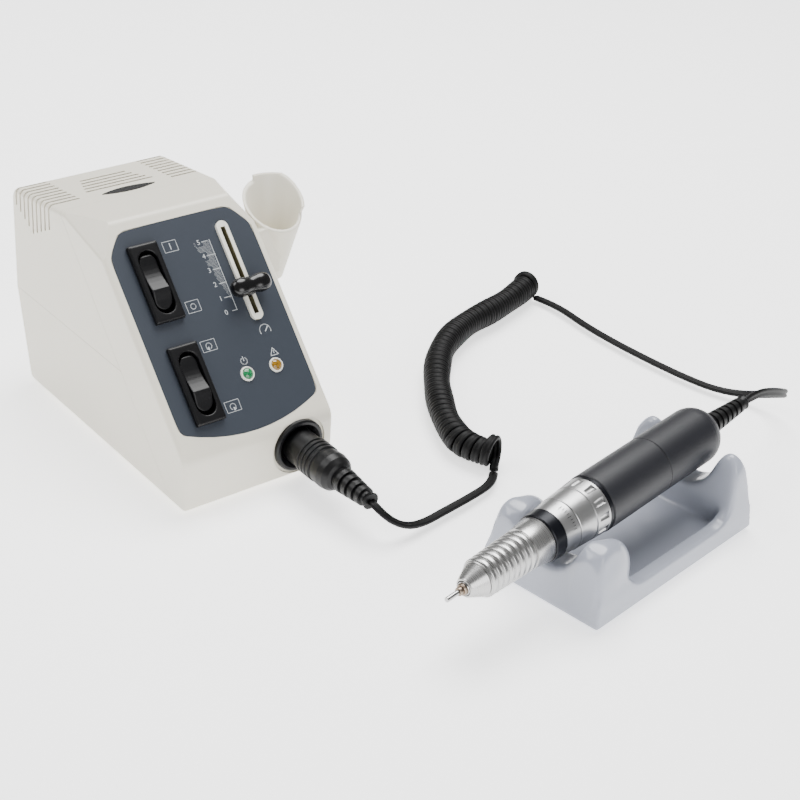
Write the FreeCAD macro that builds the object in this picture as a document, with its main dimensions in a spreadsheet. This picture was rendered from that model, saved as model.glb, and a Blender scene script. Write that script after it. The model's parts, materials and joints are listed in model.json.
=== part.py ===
"""Electric nail drill: control unit, side holder, coiled lead, handpiece and cradle.

Frame: +Z up, millimetres.  The set stands on Z = 0 and the origin is the middle of its footprint,
measured without the lead and its plug.  +X runs to the right of the control panel, +Y to its back.
"""
import FreeCAD, Part
import math
import os
import Sketcher
from FreeCAD import Placement, Rotation, Vector

DIMENSIONS = [
    # places of the three things that stand on the table
    ("unit_x", -82.75), ("unit_y", 6.04), ("cradle_x", -22.75), ("cradle_y", -167.46), ("cradle_yaw", 9.0),
    # casing
    ("case_width", 86.0), ("case_low", 1.0), ("chin_top", 29.3), ("panel_back", 82.1), ("panel_top", 115.7),
    ("case_depth", 161.4), ("back_top", 105.8), ("seam_height", 50.8), ("base_depth", 149.8), ("wall", 2.5),
    ("facet_inset", 10.0), ("facet_back", 111.0), ("facet_low", 68.8), ("seam_low_y", 9.0),
    ("seam_top_y", 115.0), ("seam_gap", 0.2), ("edge_round", 2.6), ("chin_round", 9.0), ("back_round", 7.0),
    # panel
    ("overlay_width", 78.6), ("overlay_low", 4.0), ("overlay_side_low", 12.0), ("overlay_top", 113.5),
    ("overlay_thick", 0.6), ("overlay_corner", 12.0),
    ("switch_x", -22.3), ("power_up", 85.0), ("direction_up", 33.3), ("switch_width", 16.0),
    ("switch_length", 39.5), ("switch_raise", 3.2), ("switch_body_depth", 12.5), ("rocker_width", 9.4),
    ("rocker_length", 28.5), ("rocker_pivot_depth", 2.0), ("rocker_tilt", 6.0),
    ("trunnion_radius", 1.2), ("trunnion_reach", 1.2),
    ("slider_x", 22.8), ("slot_low", 57.6), ("slot_high", 103.2), ("slider_frame_width", 6.4),
    ("slider_frame_raise", 1.6), ("slot_width", 2.6), ("knob_up", 70.8), ("knob_width", 22.0),
    ("knob_length", 9.5), ("knob_height", 8.0), ("stem_length", 9.0), ("stem_width", 1.8),
    ("pot_depth", 9.0), ("lamp_up", 30.8), ("power_lamp_x", 6.0), ("overload_lamp_x", 22.6),
    ("lamp_ring_radius", 3.7), ("lamp_radius", 2.4),
    ("board_width", 66.0), ("board_length", 84.0), ("board_thick", 1.6), ("board_depth", 19.0),
    # vents and badge
    ("vent_width", 1.5), ("vent_pitch", 4.2), ("vent_count", 9), ("vent_start", 121.5), ("vent_reach", 17.0),
    ("vent_drop", 9.0), ("badge_length", 30.0), ("badge_width", 6.4), ("badge_thick", 0.8),
    ("badge_y", 119.5),
    # handpiece socket and plug
    ("socket_x", 22.6), ("socket_z", 17.2), ("flange_radius", 13.7), ("socket_bore", 9.3),
    ("plug_radius", 9.0),
    ("plug_nose_radius", 6.5), ("plug_length", 34.0), ("relief_length", 24.0),
    # holder on the side
    ("holder_x", 59.0), ("holder_y", 77.7), ("holder_rim_z", 103.3), ("holder_radius", 15.0),
    ("holder_foot_radius", 5.0), ("holder_foot_z", 66.0), ("holder_wall", 2.0), ("holder_slant", 29.0),
    # inside and under the unit
    ("foot_radius", 5.5), ("foot_height", 3.4), ("foot_x", 31.0), ("foot_front_y", 22.0),
    ("foot_back_y", 134.0),
    ("screw_x", 37.2), ("screw_front_y", 72.0), ("screw_back_y", 142.0), ("screw_radius", 1.45),
    ("screw_head_radius", 2.8), ("screw_length", 16.0), ("post_radius", 4.0),
    ("core_width", 54.0), ("core_depth", 44.0), ("core_height", 17.0), ("core_y", 104.0),
    ("winding_height", 38.0),
    # handpiece: stations along its axis from the mouth of the nose
    ("grip_z", 35.0), ("grip_pitch", 2.5), ("nose_reach", 53.6), ("nose_radius", 4.5), ("cone_end", 9.0),
    ("cone_radius", 8.2), ("rib_end", 37.5), ("rib_count", 8), ("rib_radius", 9.1), ("taper_end", 48.5),
    ("taper_radius", 11.0), ("band_end", 55.3), ("index_end", 64.0), ("index_radius", 12.6),
    ("twist_end", 84.0),
    ("twist_radius", 13.9), ("grip_start", 86.3), ("grip_seam", 129.5), ("grip_end", 175.0),
    ("grip_radius", 14.2),
    ("shank_radius", 1.175), ("pin_tip", -11.0), ("collet_tip", -3.7), ("running_gap", 0.05),
    ("boot_end", 209.0),
    # cradle
    ("cradle_length", 122.0), ("cradle_width", 68.2), ("front_lobe_u", 9.1), ("front_lobe_z", 37.7),
    ("rear_lobe_u", 112.2), ("rear_lobe_z", 40.5), ("lobe_half_gap", 22.6), ("cradle_wall_z", 10.5),
    ("cradle_floor", 5.0), ("pad_radius", 5.0), ("pad_thick", 0.78),
    # lead
    ("lead_radius", 2.4), ("coil_radius", 7.4),
]

doc = FreeCAD.newDocument("nail_drill")
sheet = doc.addObject("Spreadsheet::Sheet", "Sizes")
for row, (alias, value) in enumerate(DIMENSIONS, start=1):
    sheet.set("A%d" % row, alias)
    sheet.set("B%d" % row, str(value))
    sheet.setAlias("B%d" % row, alias)
doc.recompute()


class Size:
    """A length that knows its value now and the spreadsheet expression that drives it."""

    def __init__(self, value, text):
        self.value = float(value)
        self.text = text

    @staticmethod
    def of(other):
        return other if isinstance(other, Size) else Size(other, "%.6g" % other)

    def __add__(self, other):
        other = Size.of(other)
        return Size(self.value + other.value, "(%s + %s)" % (self.text, other.text))

    def __sub__(self, other):
        other = Size.of(other)
        return Size(self.value - other.value, "(%s - (%s))" % (self.text, other.text))

    def __mul__(self, other):
        other = Size.of(other)
        return Size(self.value * other.value, "(%s * %s)" % (self.text, other.text))

    def __truediv__(self, other):
        other = Size.of(other)
        return Size(self.value / other.value, "(%s / %s)" % (self.text, other.text))

    def __neg__(self):
        return self * -1.0

    def __float__(self):
        return self.value

    __radd__ = __add__
    __rmul__ = __mul__

    def __rsub__(self, other):
        return Size.of(other) - self


def size(alias):
    return Size(sheet.get(alias), "Sizes.%s" % alias)


def vector(point):
    return Vector(*[float(number) for number in point])


def bind(obj, name, value):
    """Set a property, and tie it to the sheet where the value comes from there."""
    if isinstance(value, Size):
        setattr(obj, name, value.value)
        obj.setExpression(name, value.text)
    else:
        setattr(obj, name, value)


# ---------------------------------------------------------------- frames

X_AXIS = Vector(1, 0, 0)
Y_AXIS = Vector(0, 1, 0)
Z_AXIS = Vector(0, 0, 1)

WORLD = Placement()
UNIT = Placement(vector((size("unit_x"), size("unit_y"), 0)), Rotation())

PANEL_SLOPE = math.degrees(math.atan2(float(size("panel_top") - size("chin_top")), float(size("panel_back"))))
PANEL = UNIT * Placement(vector((0, 0, size("chin_top"))), Rotation(X_AXIS, PANEL_SLOPE))

BACK_LEAN = math.degrees(math.atan2(float(size("case_depth") - size("base_depth")),
                                    float(size("seam_height") - size("case_low"))))
REAR_MIDDLE = vector((0, (size("case_depth") + size("base_depth")) / 2,
                      (size("seam_height") + size("case_low")) / 2))
REAR = UNIT * Placement(REAR_MIDDLE, Rotation(Z_AXIS, 180) * Rotation(X_AXIS, 90 + BACK_LEAN))

CRADLE = Placement(vector((size("cradle_x"), size("cradle_y"), 0)),
                   Rotation(Z_AXIS, float(size("cradle_yaw"))))
SOCKET = UNIT * Placement(vector((size("socket_x"), 0, size("socket_z"))), Rotation(Z_AXIS, -90))
AXIS_START = vector((-size("nose_reach"), size("cradle_width") / 2, 0))
PITCH = math.radians(float(size("grip_pitch")))
AXIS_RISE = float(size("grip_z")) - math.tan(PITCH) * float(size("front_lobe_u") + size("nose_reach"))
HANDPIECE = CRADLE * Placement(AXIS_START + Vector(0, 0, AXIS_RISE),
                               Rotation(Y_AXIS, -float(size("grip_pitch"))))


# ---------------------------------------------------------------- building blocks

def primitive(kind, name, frame, at=(0, 0, 0), turn=None, **sizes):
    obj = doc.addObject("Part::" + kind, name)
    for key, value in sizes.items():
        bind(obj, key, value)
    obj.Placement = frame * Placement(vector(at), turn or Rotation())
    return obj


def block(name, frame, low, spans):
    """A box from its low corner and its spans along X, Y and Z."""
    return primitive("Box", name, frame, low, Length=spans[0], Width=spans[1], Height=spans[2])


def rod(name, frame, start, radius, length, along=Z_AXIS):
    return primitive("Cylinder", name, frame, start, Rotation(Z_AXIS, along), Radius=radius, Height=length)


def fuse(name, shapes):
    obj = doc.addObject("Part::MultiFuse", name)
    obj.Shapes = shapes
    return obj


def cut(name, base, *tools):
    obj = doc.addObject("Part::Cut", name)
    obj.Base = base
    obj.Tool = tools[0] if len(tools) == 1 else fuse(name + "_tools", list(tools))
    return obj


def common(name, base, tool):
    obj = doc.addObject("Part::Common", name)
    obj.Base = base
    obj.Tool = tool
    return obj


def group(name, solids):
    """Separate solids that share one node."""
    obj = doc.addObject("Part::Compound", name)
    obj.Links = solids
    return obj


def rounded(name, base, radius, wanted):
    """Round the edges of base that the wanted test picks."""
    doc.recompute()
    obj = doc.addObject("Part::Fillet", name)
    obj.Base = base
    inverse = base.Placement.inverse()
    edges = []
    for number, edge in enumerate(base.Shape.Edges, start=1):
        ends = [vertex.Point for vertex in edge.Vertexes]
        if wanted([inverse.multVec(end) for end in ends]):
            edges.append((number, float(radius), float(radius)))
    obj.Edges = edges
    return obj


def draw_outline(sketch, points):
    """Draw a closed outline whose corners are tied to the sheet."""
    numbers = [(float(across), float(up)) for across, up in points]
    for index, here in enumerate(numbers):
        there = numbers[(index + 1) % len(numbers)]
        sketch.addGeometry(Part.LineSegment(Vector(*here, 0), Vector(*there, 0)), False)
    for index, (across, up) in enumerate(points):
        before = (index - 1) % len(points)
        sketch.addConstraint(Sketcher.Constraint("Coincident", before, 2, index, 1))
        for kind, value in (("DistanceX", across), ("DistanceY", up)):
            if abs(float(value)) < 1e-9:
                axis = -2 if kind == "DistanceX" else -1
                sketch.addConstraint(Sketcher.Constraint("PointOnObject", index, 1, axis))
                continue
            number = sketch.addConstraint(Sketcher.Constraint(kind, -1, 1, index, 1, float(value)))
            if isinstance(value, Size):
                sketch.setExpression("Constraints[%d]" % number, value.text)


UPRIGHT_ACROSS = Rotation(Vector(0, 1, 0), Vector(0, 0, 1), Vector(1, 0, 0), "XYZ")
UPRIGHT_ALONG = Rotation(Vector(1, 0, 0), Vector(0, 0, 1), Vector(0, -1, 0), "XYZ")


def prism(name, frame, points, length, facing=Rotation(), start=(0, 0, 0)):
    """An outline pushed out along its own normal, both ways from the start point."""
    sketch = doc.addObject("Sketcher::SketchObject", name + "_outline")
    draw_outline(sketch, points)
    sketch.Placement = frame * Placement(vector(start), facing)
    obj = doc.addObject("Part::Extrusion", name)
    obj.Base = sketch
    obj.DirMode = "Normal"
    bind(obj, "LengthFwd", length)
    obj.Symmetric = True
    obj.Solid = True
    return obj


def turned(name, frame, points):
    """A lathe part: an outline of (station, radius) turned about the frame's X axis."""
    body = doc.addObject("PartDesign::Body", name)
    body.Placement = frame
    plane = [item for item in body.Origin.OriginFeatures if item.Role == "XY_Plane"][0]
    sketch = body.newObject("Sketcher::SketchObject", name + "_outline")
    sketch.AttachmentSupport = (plane, "")
    sketch.MapMode = "FlatFace"
    draw_outline(sketch, points)
    turn = body.newObject("PartDesign::Revolution", name + "_turn")
    turn.Profile = sketch
    turn.ReferenceAxis = (sketch, ["H_Axis"])
    turn.Angle = 360
    body.Tip = turn
    return body


PARTS = []


def node(obj, label):
    """Name a finished sub-part: its label names its file."""
    obj.Label = label
    PARTS.append(obj)
    return obj


# ---------------------------------------------------------------- casing

def casing_outline(inset):
    """Side profile of the casing as (depth, height), moved inwards by the inset."""
    slope = math.radians(PANEL_SLOPE)
    fall = (size("panel_top") - size("back_top")) / (size("case_depth") - size("panel_back"))
    tilt = math.atan(float(fall))
    lean = math.radians(BACK_LEAN)
    bisect_chin = math.tan((math.pi / 2 - slope) / 2)
    bisect_top = math.tan((slope + tilt) / 2)
    bisect_back = math.tan((math.pi / 2 - tilt) / 2)
    top_shift = inset * (math.sin(slope) + bisect_top * math.cos(slope))
    top_drop = inset * (math.cos(slope) - bisect_top * math.sin(slope))
    return [
        (inset, size("case_low") + inset),
        (inset, size("chin_top") - inset * bisect_chin),
        (size("panel_back") + top_shift, size("panel_top") - top_drop),
        (size("case_depth") - inset, size("back_top") - inset / bisect_back),
        (size("case_depth") - inset, size("seam_height")),
        (size("base_depth") - inset * (1 + math.tan(lean)), size("case_low") + inset),
    ]


def on_line(ends, places, reach):
    """True for an edge that runs across the casing through one of the (depth, height) places."""
    if len(ends) != 2 or abs(ends[0].x - ends[1].x) < 10:
        return False
    return any(abs(ends[0].y - y) < reach and abs(ends[0].z - z) < reach for y, z in places)


def facet(name, side):
    """The wedge that cuts a top front corner of the casing off."""
    half = float(size("case_width")) / 2
    along = float(size("facet_back") - size("panel_back"))
    fall = float(size("panel_top") - size("back_top")) / float(size("case_depth") - size("panel_back"))
    low_z = float(size("chin_top")) + math.tan(math.radians(PANEL_SLOPE)) * float(size("facet_low"))
    back = Vector(side * half, float(size("facet_back")), float(size("panel_top")) - fall * along)
    front = Vector(side * (half - float(size("facet_inset"))), float(size("panel_back")),
                   float(size("panel_top")))
    low = Vector(side * half, float(size("facet_low")), low_z)
    normal = (front - back).cross(low - back).normalize()
    if normal.x * side < 0:
        normal = normal * -1.0
    middle = (back + front + low) * (1 / 3.0)
    reach = 80.0
    plate = Part.makeBox(reach, reach, reach / 2, Vector(-reach / 2, -reach / 2, 0))
    plate.Placement = Placement(middle, Rotation(Z_AXIS, normal))
    obj = doc.addObject("Part::Feature", name)
    obj.Shape = plate
    obj.Placement = UNIT * plate.Placement
    return obj


def casing_shell():
    half = size("case_width") / 2
    outline = casing_outline(Size(0, "0"))
    block_raw = prism("case_raw", UNIT, outline, size("case_width"), UPRIGHT_ACROSS)
    unit_frame = UNIT.inverse()
    places = [(float(depth), float(height)) for depth, height in outline]

    def across(which):
        chosen = [places[index] for index in which]
        return lambda ends: on_line([unit_frame.multVec(end) for end in ends], chosen, 0.5)

    soft_chin = rounded("case_chin_round", block_raw, size("chin_round"), across([1]))
    soft_back = rounded("case_back_round", soft_chin, size("back_round"), across([3]))
    soft_top = rounded("case_top_round", soft_back, 4.0, across([2, 5]))
    soft_front = rounded("case_front_round", soft_top, 2.0, across([0, 4]))
    faceted = cut("case_faceted", soft_front, facet("facet_left", -1), facet("facet_right", 1))

    def on_side(ends):
        points = [unit_frame.multVec(end) for end in ends]
        beyond = all(abs(abs(point.x) - float(half)) < 0.6 for point in points)
        return beyond and len(points) == 2

    outer = rounded("case_outer", faceted, size("edge_round"), on_side)
    inner = prism("case_inner", UNIT, casing_outline(size("wall")), size("case_width") - size("wall") * 2,
                  UPRIGHT_ACROSS)
    return outer, cut("case_core", inner, corner_block(-1), corner_block(1))


def corner_block(side):
    """Keeps the wall thick behind each facet."""
    low_x = size("case_width") / 2 - size("facet_inset") - size("wall")
    start = low_x if side > 0 else -(size("case_width") / 2)
    return block("facet_backing_%s" % ("right" if side > 0 else "left"), UNIT,
                 (start, size("facet_low") - 4, size("chin_top") + 62),
                 (size("facet_inset") + size("wall"), 46.0, 40.0))


def seam_region(name, front, gap):
    """Everything in front of the slanted seam, or behind it."""
    far = -60.0 if front else 240.0
    shift = gap if not front else Size(0, "0")
    high = size("panel_top") + 60
    slope = (size("seam_top_y") - size("seam_low_y")) / size("panel_top")
    points = [(far, -20.0), (size("seam_low_y") - slope * 20 + shift, -20.0),
              (size("seam_low_y") + slope * high + shift, high), (far, high)]
    return prism(name, UNIT, points, 200.0, UPRIGHT_ACROSS)


outer_case, inner_case = casing_shell()


def panel_rod(name, across, up, radius, low, length):
    return rod(name, PANEL, (across, up, low), radius, length)


def panel_block(name, across, up, spans, low):
    """A box centred on a place of the panel, from a height above it."""
    corner = (across - spans[0] / 2, up - spans[1] / 2, low)
    return block(name, PANEL, corner, spans)


def slot_middle():
    return (size("slot_low") + size("slot_high")) / 2


def slot_length():
    return size("slot_high") - size("slot_low")


def front_bezel():
    ring = common("bezel_solid", outer_case, seam_region("bezel_region", True, 0))
    hollow = cut("bezel_hollow", ring, inner_case)
    holes = [
        rod("socket_hole", SOCKET, (-20, 0, 0), size("flange_radius") - 2, 26.0, X_AXIS),
        rod("socket_dish", SOCKET, (-1.2, 0, 0), size("flange_radius") + 1.6, 20.0, X_AXIS),
    ]
    for name, up in (("power", size("power_up")), ("direction", size("direction_up"))):
        holes.append(panel_block(name + "_hole", size("switch_x"), up,
                                 (size("switch_width") - 2.6, size("switch_length") - 4, 14.0), -9.0))
    holes.append(panel_block("slider_hole", size("slider_x"), slot_middle(),
                             (size("slider_frame_width") - 1.6, slot_length() + 3, 14.0), -9.0))
    for name in ("power_lamp", "overload_lamp"):
        holes.append(panel_rod(name + "_hole", size(name + "_x"), size("lamp_up"),
                               size("lamp_ring_radius") - 0.7, -9.0, 14.0))
    for index, z in enumerate(holder_screw_heights()):
        holes.append(rod("holder_screw_hole_%d" % index, UNIT,
                         (size("case_width") / 2 - 6, size("holder_y"), z),
                         1.5, 12.0, X_AXIS))
    recess = prism("overlay_recess", PANEL, overlay_outline(0.15), size("overlay_thick") * 2)
    node(cut("front_bezel_cut", hollow, recess, *holes), "front_bezel")


def overlay_outline(grow):
    """The dark face plate: cut top corners and a lower edge that bows down like a smile."""
    half = size("overlay_width") / 2 + grow
    top = size("overlay_top") + grow
    corner = size("overlay_corner")
    side_low = size("overlay_side_low")
    depth = size("overlay_side_low") - size("overlay_low") + grow
    points = [(-half, side_low + 3), (-half, top - corner - 1), (-half + 2, top - corner + 3),
              (-half + corner - 4, top - 1.5), (-half + corner, top),
              (half - corner, top), (half - corner + 4, top - 1.5), (half - 2, top - corner + 3),
              (half, top - corner - 1), (half, side_low + 3), (half - 1.5, side_low)]
    steps = 10
    for index in range(1, steps):
        share = 1 - 2 * index / steps
        points.append(((half - 1.5) * share, side_low - depth * (1 - share * share)))
    points.append((-half + 1.5, side_low))
    return points


def panel_overlay():
    sheet_plate = prism("overlay_plate", PANEL, overlay_outline(0), size("overlay_thick") * 2)
    keep = panel_block("overlay_keep", 0.0, 60.0, (120.0, 160.0, size("overlay_thick")),
                       0.0 - size("overlay_thick"))
    plate = common("overlay_half", sheet_plate, keep)
    holes = []
    for name, up in (("power", size("power_up")), ("direction", size("direction_up"))):
        holes.append(panel_block(name + "_window", size("switch_x"), up,
                                 (size("switch_width") - 1.2, size("switch_length") - 1.2, 6.0), -3.0))
    holes.append(panel_block("slider_window", size("slider_x"), slot_middle(),
                             (size("slider_frame_width") - 1.2, slot_length() + 3.4, 6.0), -3.0))
    for name in ("power_lamp", "overload_lamp"):
        holes.append(panel_rod(name + "_window", size(name + "_x"), size("lamp_up"),
                               size("lamp_ring_radius") - 0.6, -3.0, 6.0))
    node(cut("overlay_cut", plate, *holes), "panel_overlay")


def vent_slots():
    """Slots that wrap over both top back corners, and cross slots behind the badge."""
    slots = []
    count = int(float(size("vent_count")))
    top = size("panel_top") + 4
    for index in range(count):
        y = size("vent_start") + size("vent_pitch") * index
        middle = 1 - abs(2 * index / (count - 1) - 1)
        drop = 8.0 + float(size("vent_drop")) * middle
        height = top - size("back_top") + drop
        for side in (-1, 1):
            start = size("case_width") / 2 - size("vent_reach") if side > 0 else -(size("case_width") / 2) - 5
            slots.append(block("corner_vent_%d_%d" % (side + 1, index), UNIT, (start, y, top - height),
                               (size("vent_reach") + 5, size("vent_width"), height)))
    for index in range(5):
        y = size("vent_start") + size("vent_pitch") * (index + 1.5)
        lead_in = -19.0 + 1.5 * index
        slots.append(block("cross_vent_%d" % index, UNIT, (lead_in, y, size("back_top") - 6),
                           (38.0 - 3 * index, size("vent_width"), 20.0)))
    return slots


def screw_places():
    return [(side * size("screw_x"), y) for side in (-1, 1)
            for y in (size("screw_front_y"), size("screw_back_y"))]


def rear_shells():
    back = common("rear_solid", outer_case, seam_region("rear_region", False, size("seam_gap")))
    shell = cut("rear_shell", back, inner_case)
    wide, long = 200.0, 300.0
    upper = block("upper_half", UNIT, (-100, -60, size("seam_height") + size("seam_gap") / 2),
                  (wide, long, 120.0))
    lower = block("lower_half", UNIT, (-100, -60, -40),
                  (wide, long, size("seam_height") + 40 - size("seam_gap") / 2))
    cover = common("cover_shell", shell, upper)
    bosses = [rod("cover_boss_%d" % index, UNIT, (x, y, size("seam_height") + size("seam_gap")),
                  size("post_radius"), 15.0) for index, (x, y) in enumerate(screw_places())]
    cover_bores = [rod("cover_bore_%d" % index, UNIT, (x, y, size("seam_height") - 5),
                       size("screw_radius") + 0.02, 17.0) for index, (x, y) in enumerate(screw_places())]
    badge_seat = badge_block("badge_seat", 0.1)
    solid_cover = fuse("cover_bosses", [cover] + bosses)
    node(cut("top_cover_cut", solid_cover, badge_seat, *(vent_slots() + cover_bores)), "top_cover")

    tray = common("tray_shell", shell, lower)
    posts = [rod("tray_post_%d" % index, UNIT, (x, y, size("case_low") + 1), size("post_radius"),
                 size("seam_height") - size("case_low") - 1.2) for index, (x, y) in enumerate(screw_places())]
    cuts = []
    for index, (x, y) in enumerate(screw_places()):
        cuts.append(rod("tray_bore_%d" % index, UNIT, (x, y, -2), size("screw_radius") + 0.3, 80.0))
        cuts.append(rod("tray_counterbore_%d" % index, UNIT, (x, y, -2), size("screw_head_radius") + 0.3,
                        size("seam_height") - 10))
    for index, (x, y) in enumerate(foot_places()):
        cuts.append(rod("foot_seat_%d" % index, UNIT, (x, y, -2), size("foot_radius") - 2,
                        size("foot_height") + 4))
    cuts.append(block("inlet_hole", REAR, (-27.0, -9.9, -12), (27.0, 19.8, 24.0)))
    cuts.append(rod("fuse_hole", REAR, (22, 0, -12), 6.3, 24.0))
    node(cut("bottom_chassis_cut", fuse("tray_solid", [tray] + posts), *cuts), "bottom_chassis")


def badge_block(name, grow):
    """Lens-shaped badge lying in a shallow seat on the sloping top."""
    fall = float(size("panel_top") - size("back_top")) / float(size("case_depth") - size("panel_back"))
    height = float(size("panel_top")) - fall * float(size("badge_y") - size("panel_back"))
    frame = UNIT * Placement(Vector(0, float(size("badge_y")), height),
                             Rotation(X_AXIS, -math.degrees(math.atan(fall))))
    half_length = size("badge_length") / 2 + grow
    half_width = size("badge_width") / 2 + grow
    points = []
    steps = 12
    for index in range(steps + 1):
        share = 2 * index / steps - 1
        points.append((half_length * share, half_width * (share * share - 1)))
    for index in range(1, steps):
        share = 1 - 2 * index / steps
        points.append((half_length * share, half_width * (1 - share * share)))
    return prism(name, frame, points, size("badge_thick"))


def foot_places():
    return [(side * size("foot_x"), y) for side in (-1, 1)
            for y in (size("foot_front_y"), size("foot_back_y"))]


def feet_and_screws():
    feet = []
    for index, (x, y) in enumerate(foot_places()):
        pad = rod("foot_pad_%d" % index, UNIT, (x, y, 0), size("foot_radius"), size("case_low"))
        plug = rod("foot_plug_%d" % index, UNIT, (x, y, 0), size("foot_radius") - 2.05,
                   size("foot_height") + 1)
        feet.append(fuse("foot_%d" % index, [pad, plug]))
    node(group("foot_group", feet), "rubber_feet")
    screws = []
    for index, (x, y) in enumerate(screw_places()):
        head_top = size("seam_height") - 12
        head = rod("screw_head_%d" % index, UNIT, (x, y, head_top - 2), size("screw_head_radius"), 2.0)
        shank = rod("screw_shank_%d" % index, UNIT, (x, y, head_top - 1), size("screw_radius"),
                    size("screw_length") + 4)
        screws.append(fuse("screw_%d" % index, [head, shank]))
    node(group("screw_group", screws), "case_screws")


# ---------------------------------------------------------------- panel pieces

def switch(name, up):
    """A raised bezel with its switch body behind the panel, and the rocker that tilts in it."""
    across = size("switch_x")
    spans = (size("switch_width"), size("switch_length"))
    rim = panel_block(name + "_rim", across, up, (spans[0], spans[1], size("switch_raise")), 0.02)
    crest = float(size("switch_raise")) - 0.01
    rim_soft = rounded(name + "_rim_soft", rim, 1.2,
                       lambda ends: len(ends) == 2 and min(end.z for end in ends) > crest)
    body = panel_block(name + "_box", across, up,
                       (spans[0] - 2.8, spans[1] - 4.4, size("switch_body_depth") + 1),
                       0.0 - size("switch_body_depth"))
    tabs = [panel_block("%s_tab_%d" % (name, index), across, up - 10 + 10 * index, (4.0, 0.8, 6.0),
                        0.0 - size("switch_body_depth") - 5.5) for index in range(3)]
    well = panel_block(name + "_well", across, up,
                       (size("rocker_width") + 0.8, size("rocker_length") - 6, 20.0), -9.0)
    ends = []
    for end in (-1, 1):
        ends.append(panel_rod("%s_well_%d" % (name, end + 1), across,
                              up + end * (size("rocker_length") / 2 - 3.4),
                              size("rocker_width") / 2 + 0.4, -9.0, 20.0))
    reach = size("rocker_width") / 2 + size("trunnion_reach") + 0.1
    bore = rod(name + "_trunnion_bore", PANEL, (across - reach, up, 0 - size("rocker_pivot_depth")),
               size("trunnion_radius") + size("running_gap"), reach * 2, X_AXIS)
    bezel = cut(name + "_bezel_cut", fuse(name + "_bezel_solid", [rim_soft, body] + tabs), well, bore, *ends)
    node(bezel, name + "_switch")
    node(rocker(name, across, up), name + "_rocker")


def rocker(name, across, up):
    """Long key on a pin: a finger hollow runs up from a crest, and the short end falls away below it."""
    pivot = (across, up, -float(size("rocker_pivot_depth")))
    frame = PANEL * Placement(vector(pivot), Rotation(X_AXIS, -float(size("rocker_tilt"))))
    end = size("rocker_length") / 2 - 0.35
    under, brow, crest_up, crest_high, hollow = -1.5, 5.6, -4.6, 6.0, 1.7
    side_view = [(-end, under), (end, under), (end, brow - 0.6)]
    steps = 8
    for index in range(steps + 1):
        share = index / steps
        dip = hollow * 4 * share * (1 - share)
        side_view.append((12.8 + (crest_up - 12.8) * share, brow + (crest_high - brow) * share - dip))
    side_view += [(-6.2, 5.3), (-9.5, 3.6), (-end, 2.0)]
    profile = prism(name + "_side_view", frame, side_view, size("rocker_width"), UPRIGHT_ACROSS)
    straight = size("rocker_length") - size("rocker_width") - 0.7
    middle = block(name + "_key_middle", frame, (-(size("rocker_width") / 2), -(straight / 2), -4.0),
                   (size("rocker_width"), straight, 16.0))
    ends = [rod("%s_key_%d" % (name, side + 1), frame, (0, side * straight / 2, -4.0),
                size("rocker_width") / 2, 16.0)
            for side in (-1, 1)]
    key = common(name + "_key", profile, fuse(name + "_footprint", [middle] + ends))
    reach = size("rocker_width") / 2 + size("trunnion_reach")
    trunnion = rod(name + "_trunnion", frame, (-reach, 0, 0), size("trunnion_radius"), reach * 2, X_AXIS)
    return fuse(name + "_rocker_body", [key, trunnion])


def speed_slider():
    across = size("slider_x")
    rim = panel_block("slider_rim", across, slot_middle(),
                      (size("slider_frame_width"), slot_length() + 0.6, size("slider_frame_raise")), 0.02)
    rim_ends = [panel_rod("slider_rim_%d" % end, across, height, size("slider_frame_width") / 2, 0.02,
                          size("slider_frame_raise"))
                for end, height in enumerate((size("slot_low"), size("slot_high")))]
    neck = panel_block("slider_neck", across, slot_middle(),
                       (size("slider_frame_width") - 1.8, slot_length() + 2, 4.0), -3.6)
    slot = panel_block("slider_slot", across, slot_middle(), (size("slot_width"), slot_length(), 20.0), -9.0)
    node(cut("slider_frame_cut", fuse("slider_frame_solid", [rim, neck] + rim_ends), slot), "slider_frame")

    stem_top = size("slider_frame_raise") + 2.4
    stem = panel_block("knob_stem", across, size("knob_up"), (size("stem_width"), size("stem_length"),
                       stem_top + 8), -8.0)
    base = size("slider_frame_raise") + 0.6
    half, top = size("knob_width") / 2, size("knob_height")
    saddle = [(-half + 2.2, base), (half - 2.2, base), (half - 0.4, base + 2.6), (half, base + 5.0),
              (half - 1.6, base + top - 0.5), (half - 3.6, base + top), (half - 6.2, base + top - 0.9),
              (0.0, base + top - 2.4), (-half + 6.2, base + top - 0.9), (-half + 3.6, base + top),
              (-half + 1.6, base + top - 0.5), (-half, base + 5.0), (-half + 0.4, base + 2.6)]
    cross_bar = prism("knob_saddle", PANEL, saddle, size("knob_length"), UPRIGHT_ALONG,
                      (across, size("knob_up"), 0))
    footprint = [panel_block("knob_middle", across, size("knob_up"),
                             (size("knob_width") - size("knob_length"), size("knob_length"), 30.0), -2.0)]
    for side in (-1, 1):
        shift = side * (size("knob_width") - size("knob_length")) / 2
        footprint.append(panel_rod("knob_end_%d" % (side + 1), across + shift, size("knob_up"),
                                   size("knob_length") / 2, -2.0, 30.0))
    grip = common("knob_grip", cross_bar, fuse("knob_footprint", footprint))
    node(fuse("slider_knob_solid", [stem, grip]), "slider_knob")

    housing = panel_block("pot_housing", across, slot_middle(), (9.0, slot_length() + 12, size("pot_depth")),
                          -4.0 - size("pot_depth"))
    channel = panel_block("pot_channel", across, slot_middle(), (4.2, slot_length() + 4, 7.0), -9.6)
    node(cut("pot_cut", housing, channel), "slide_potentiometer")


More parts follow.
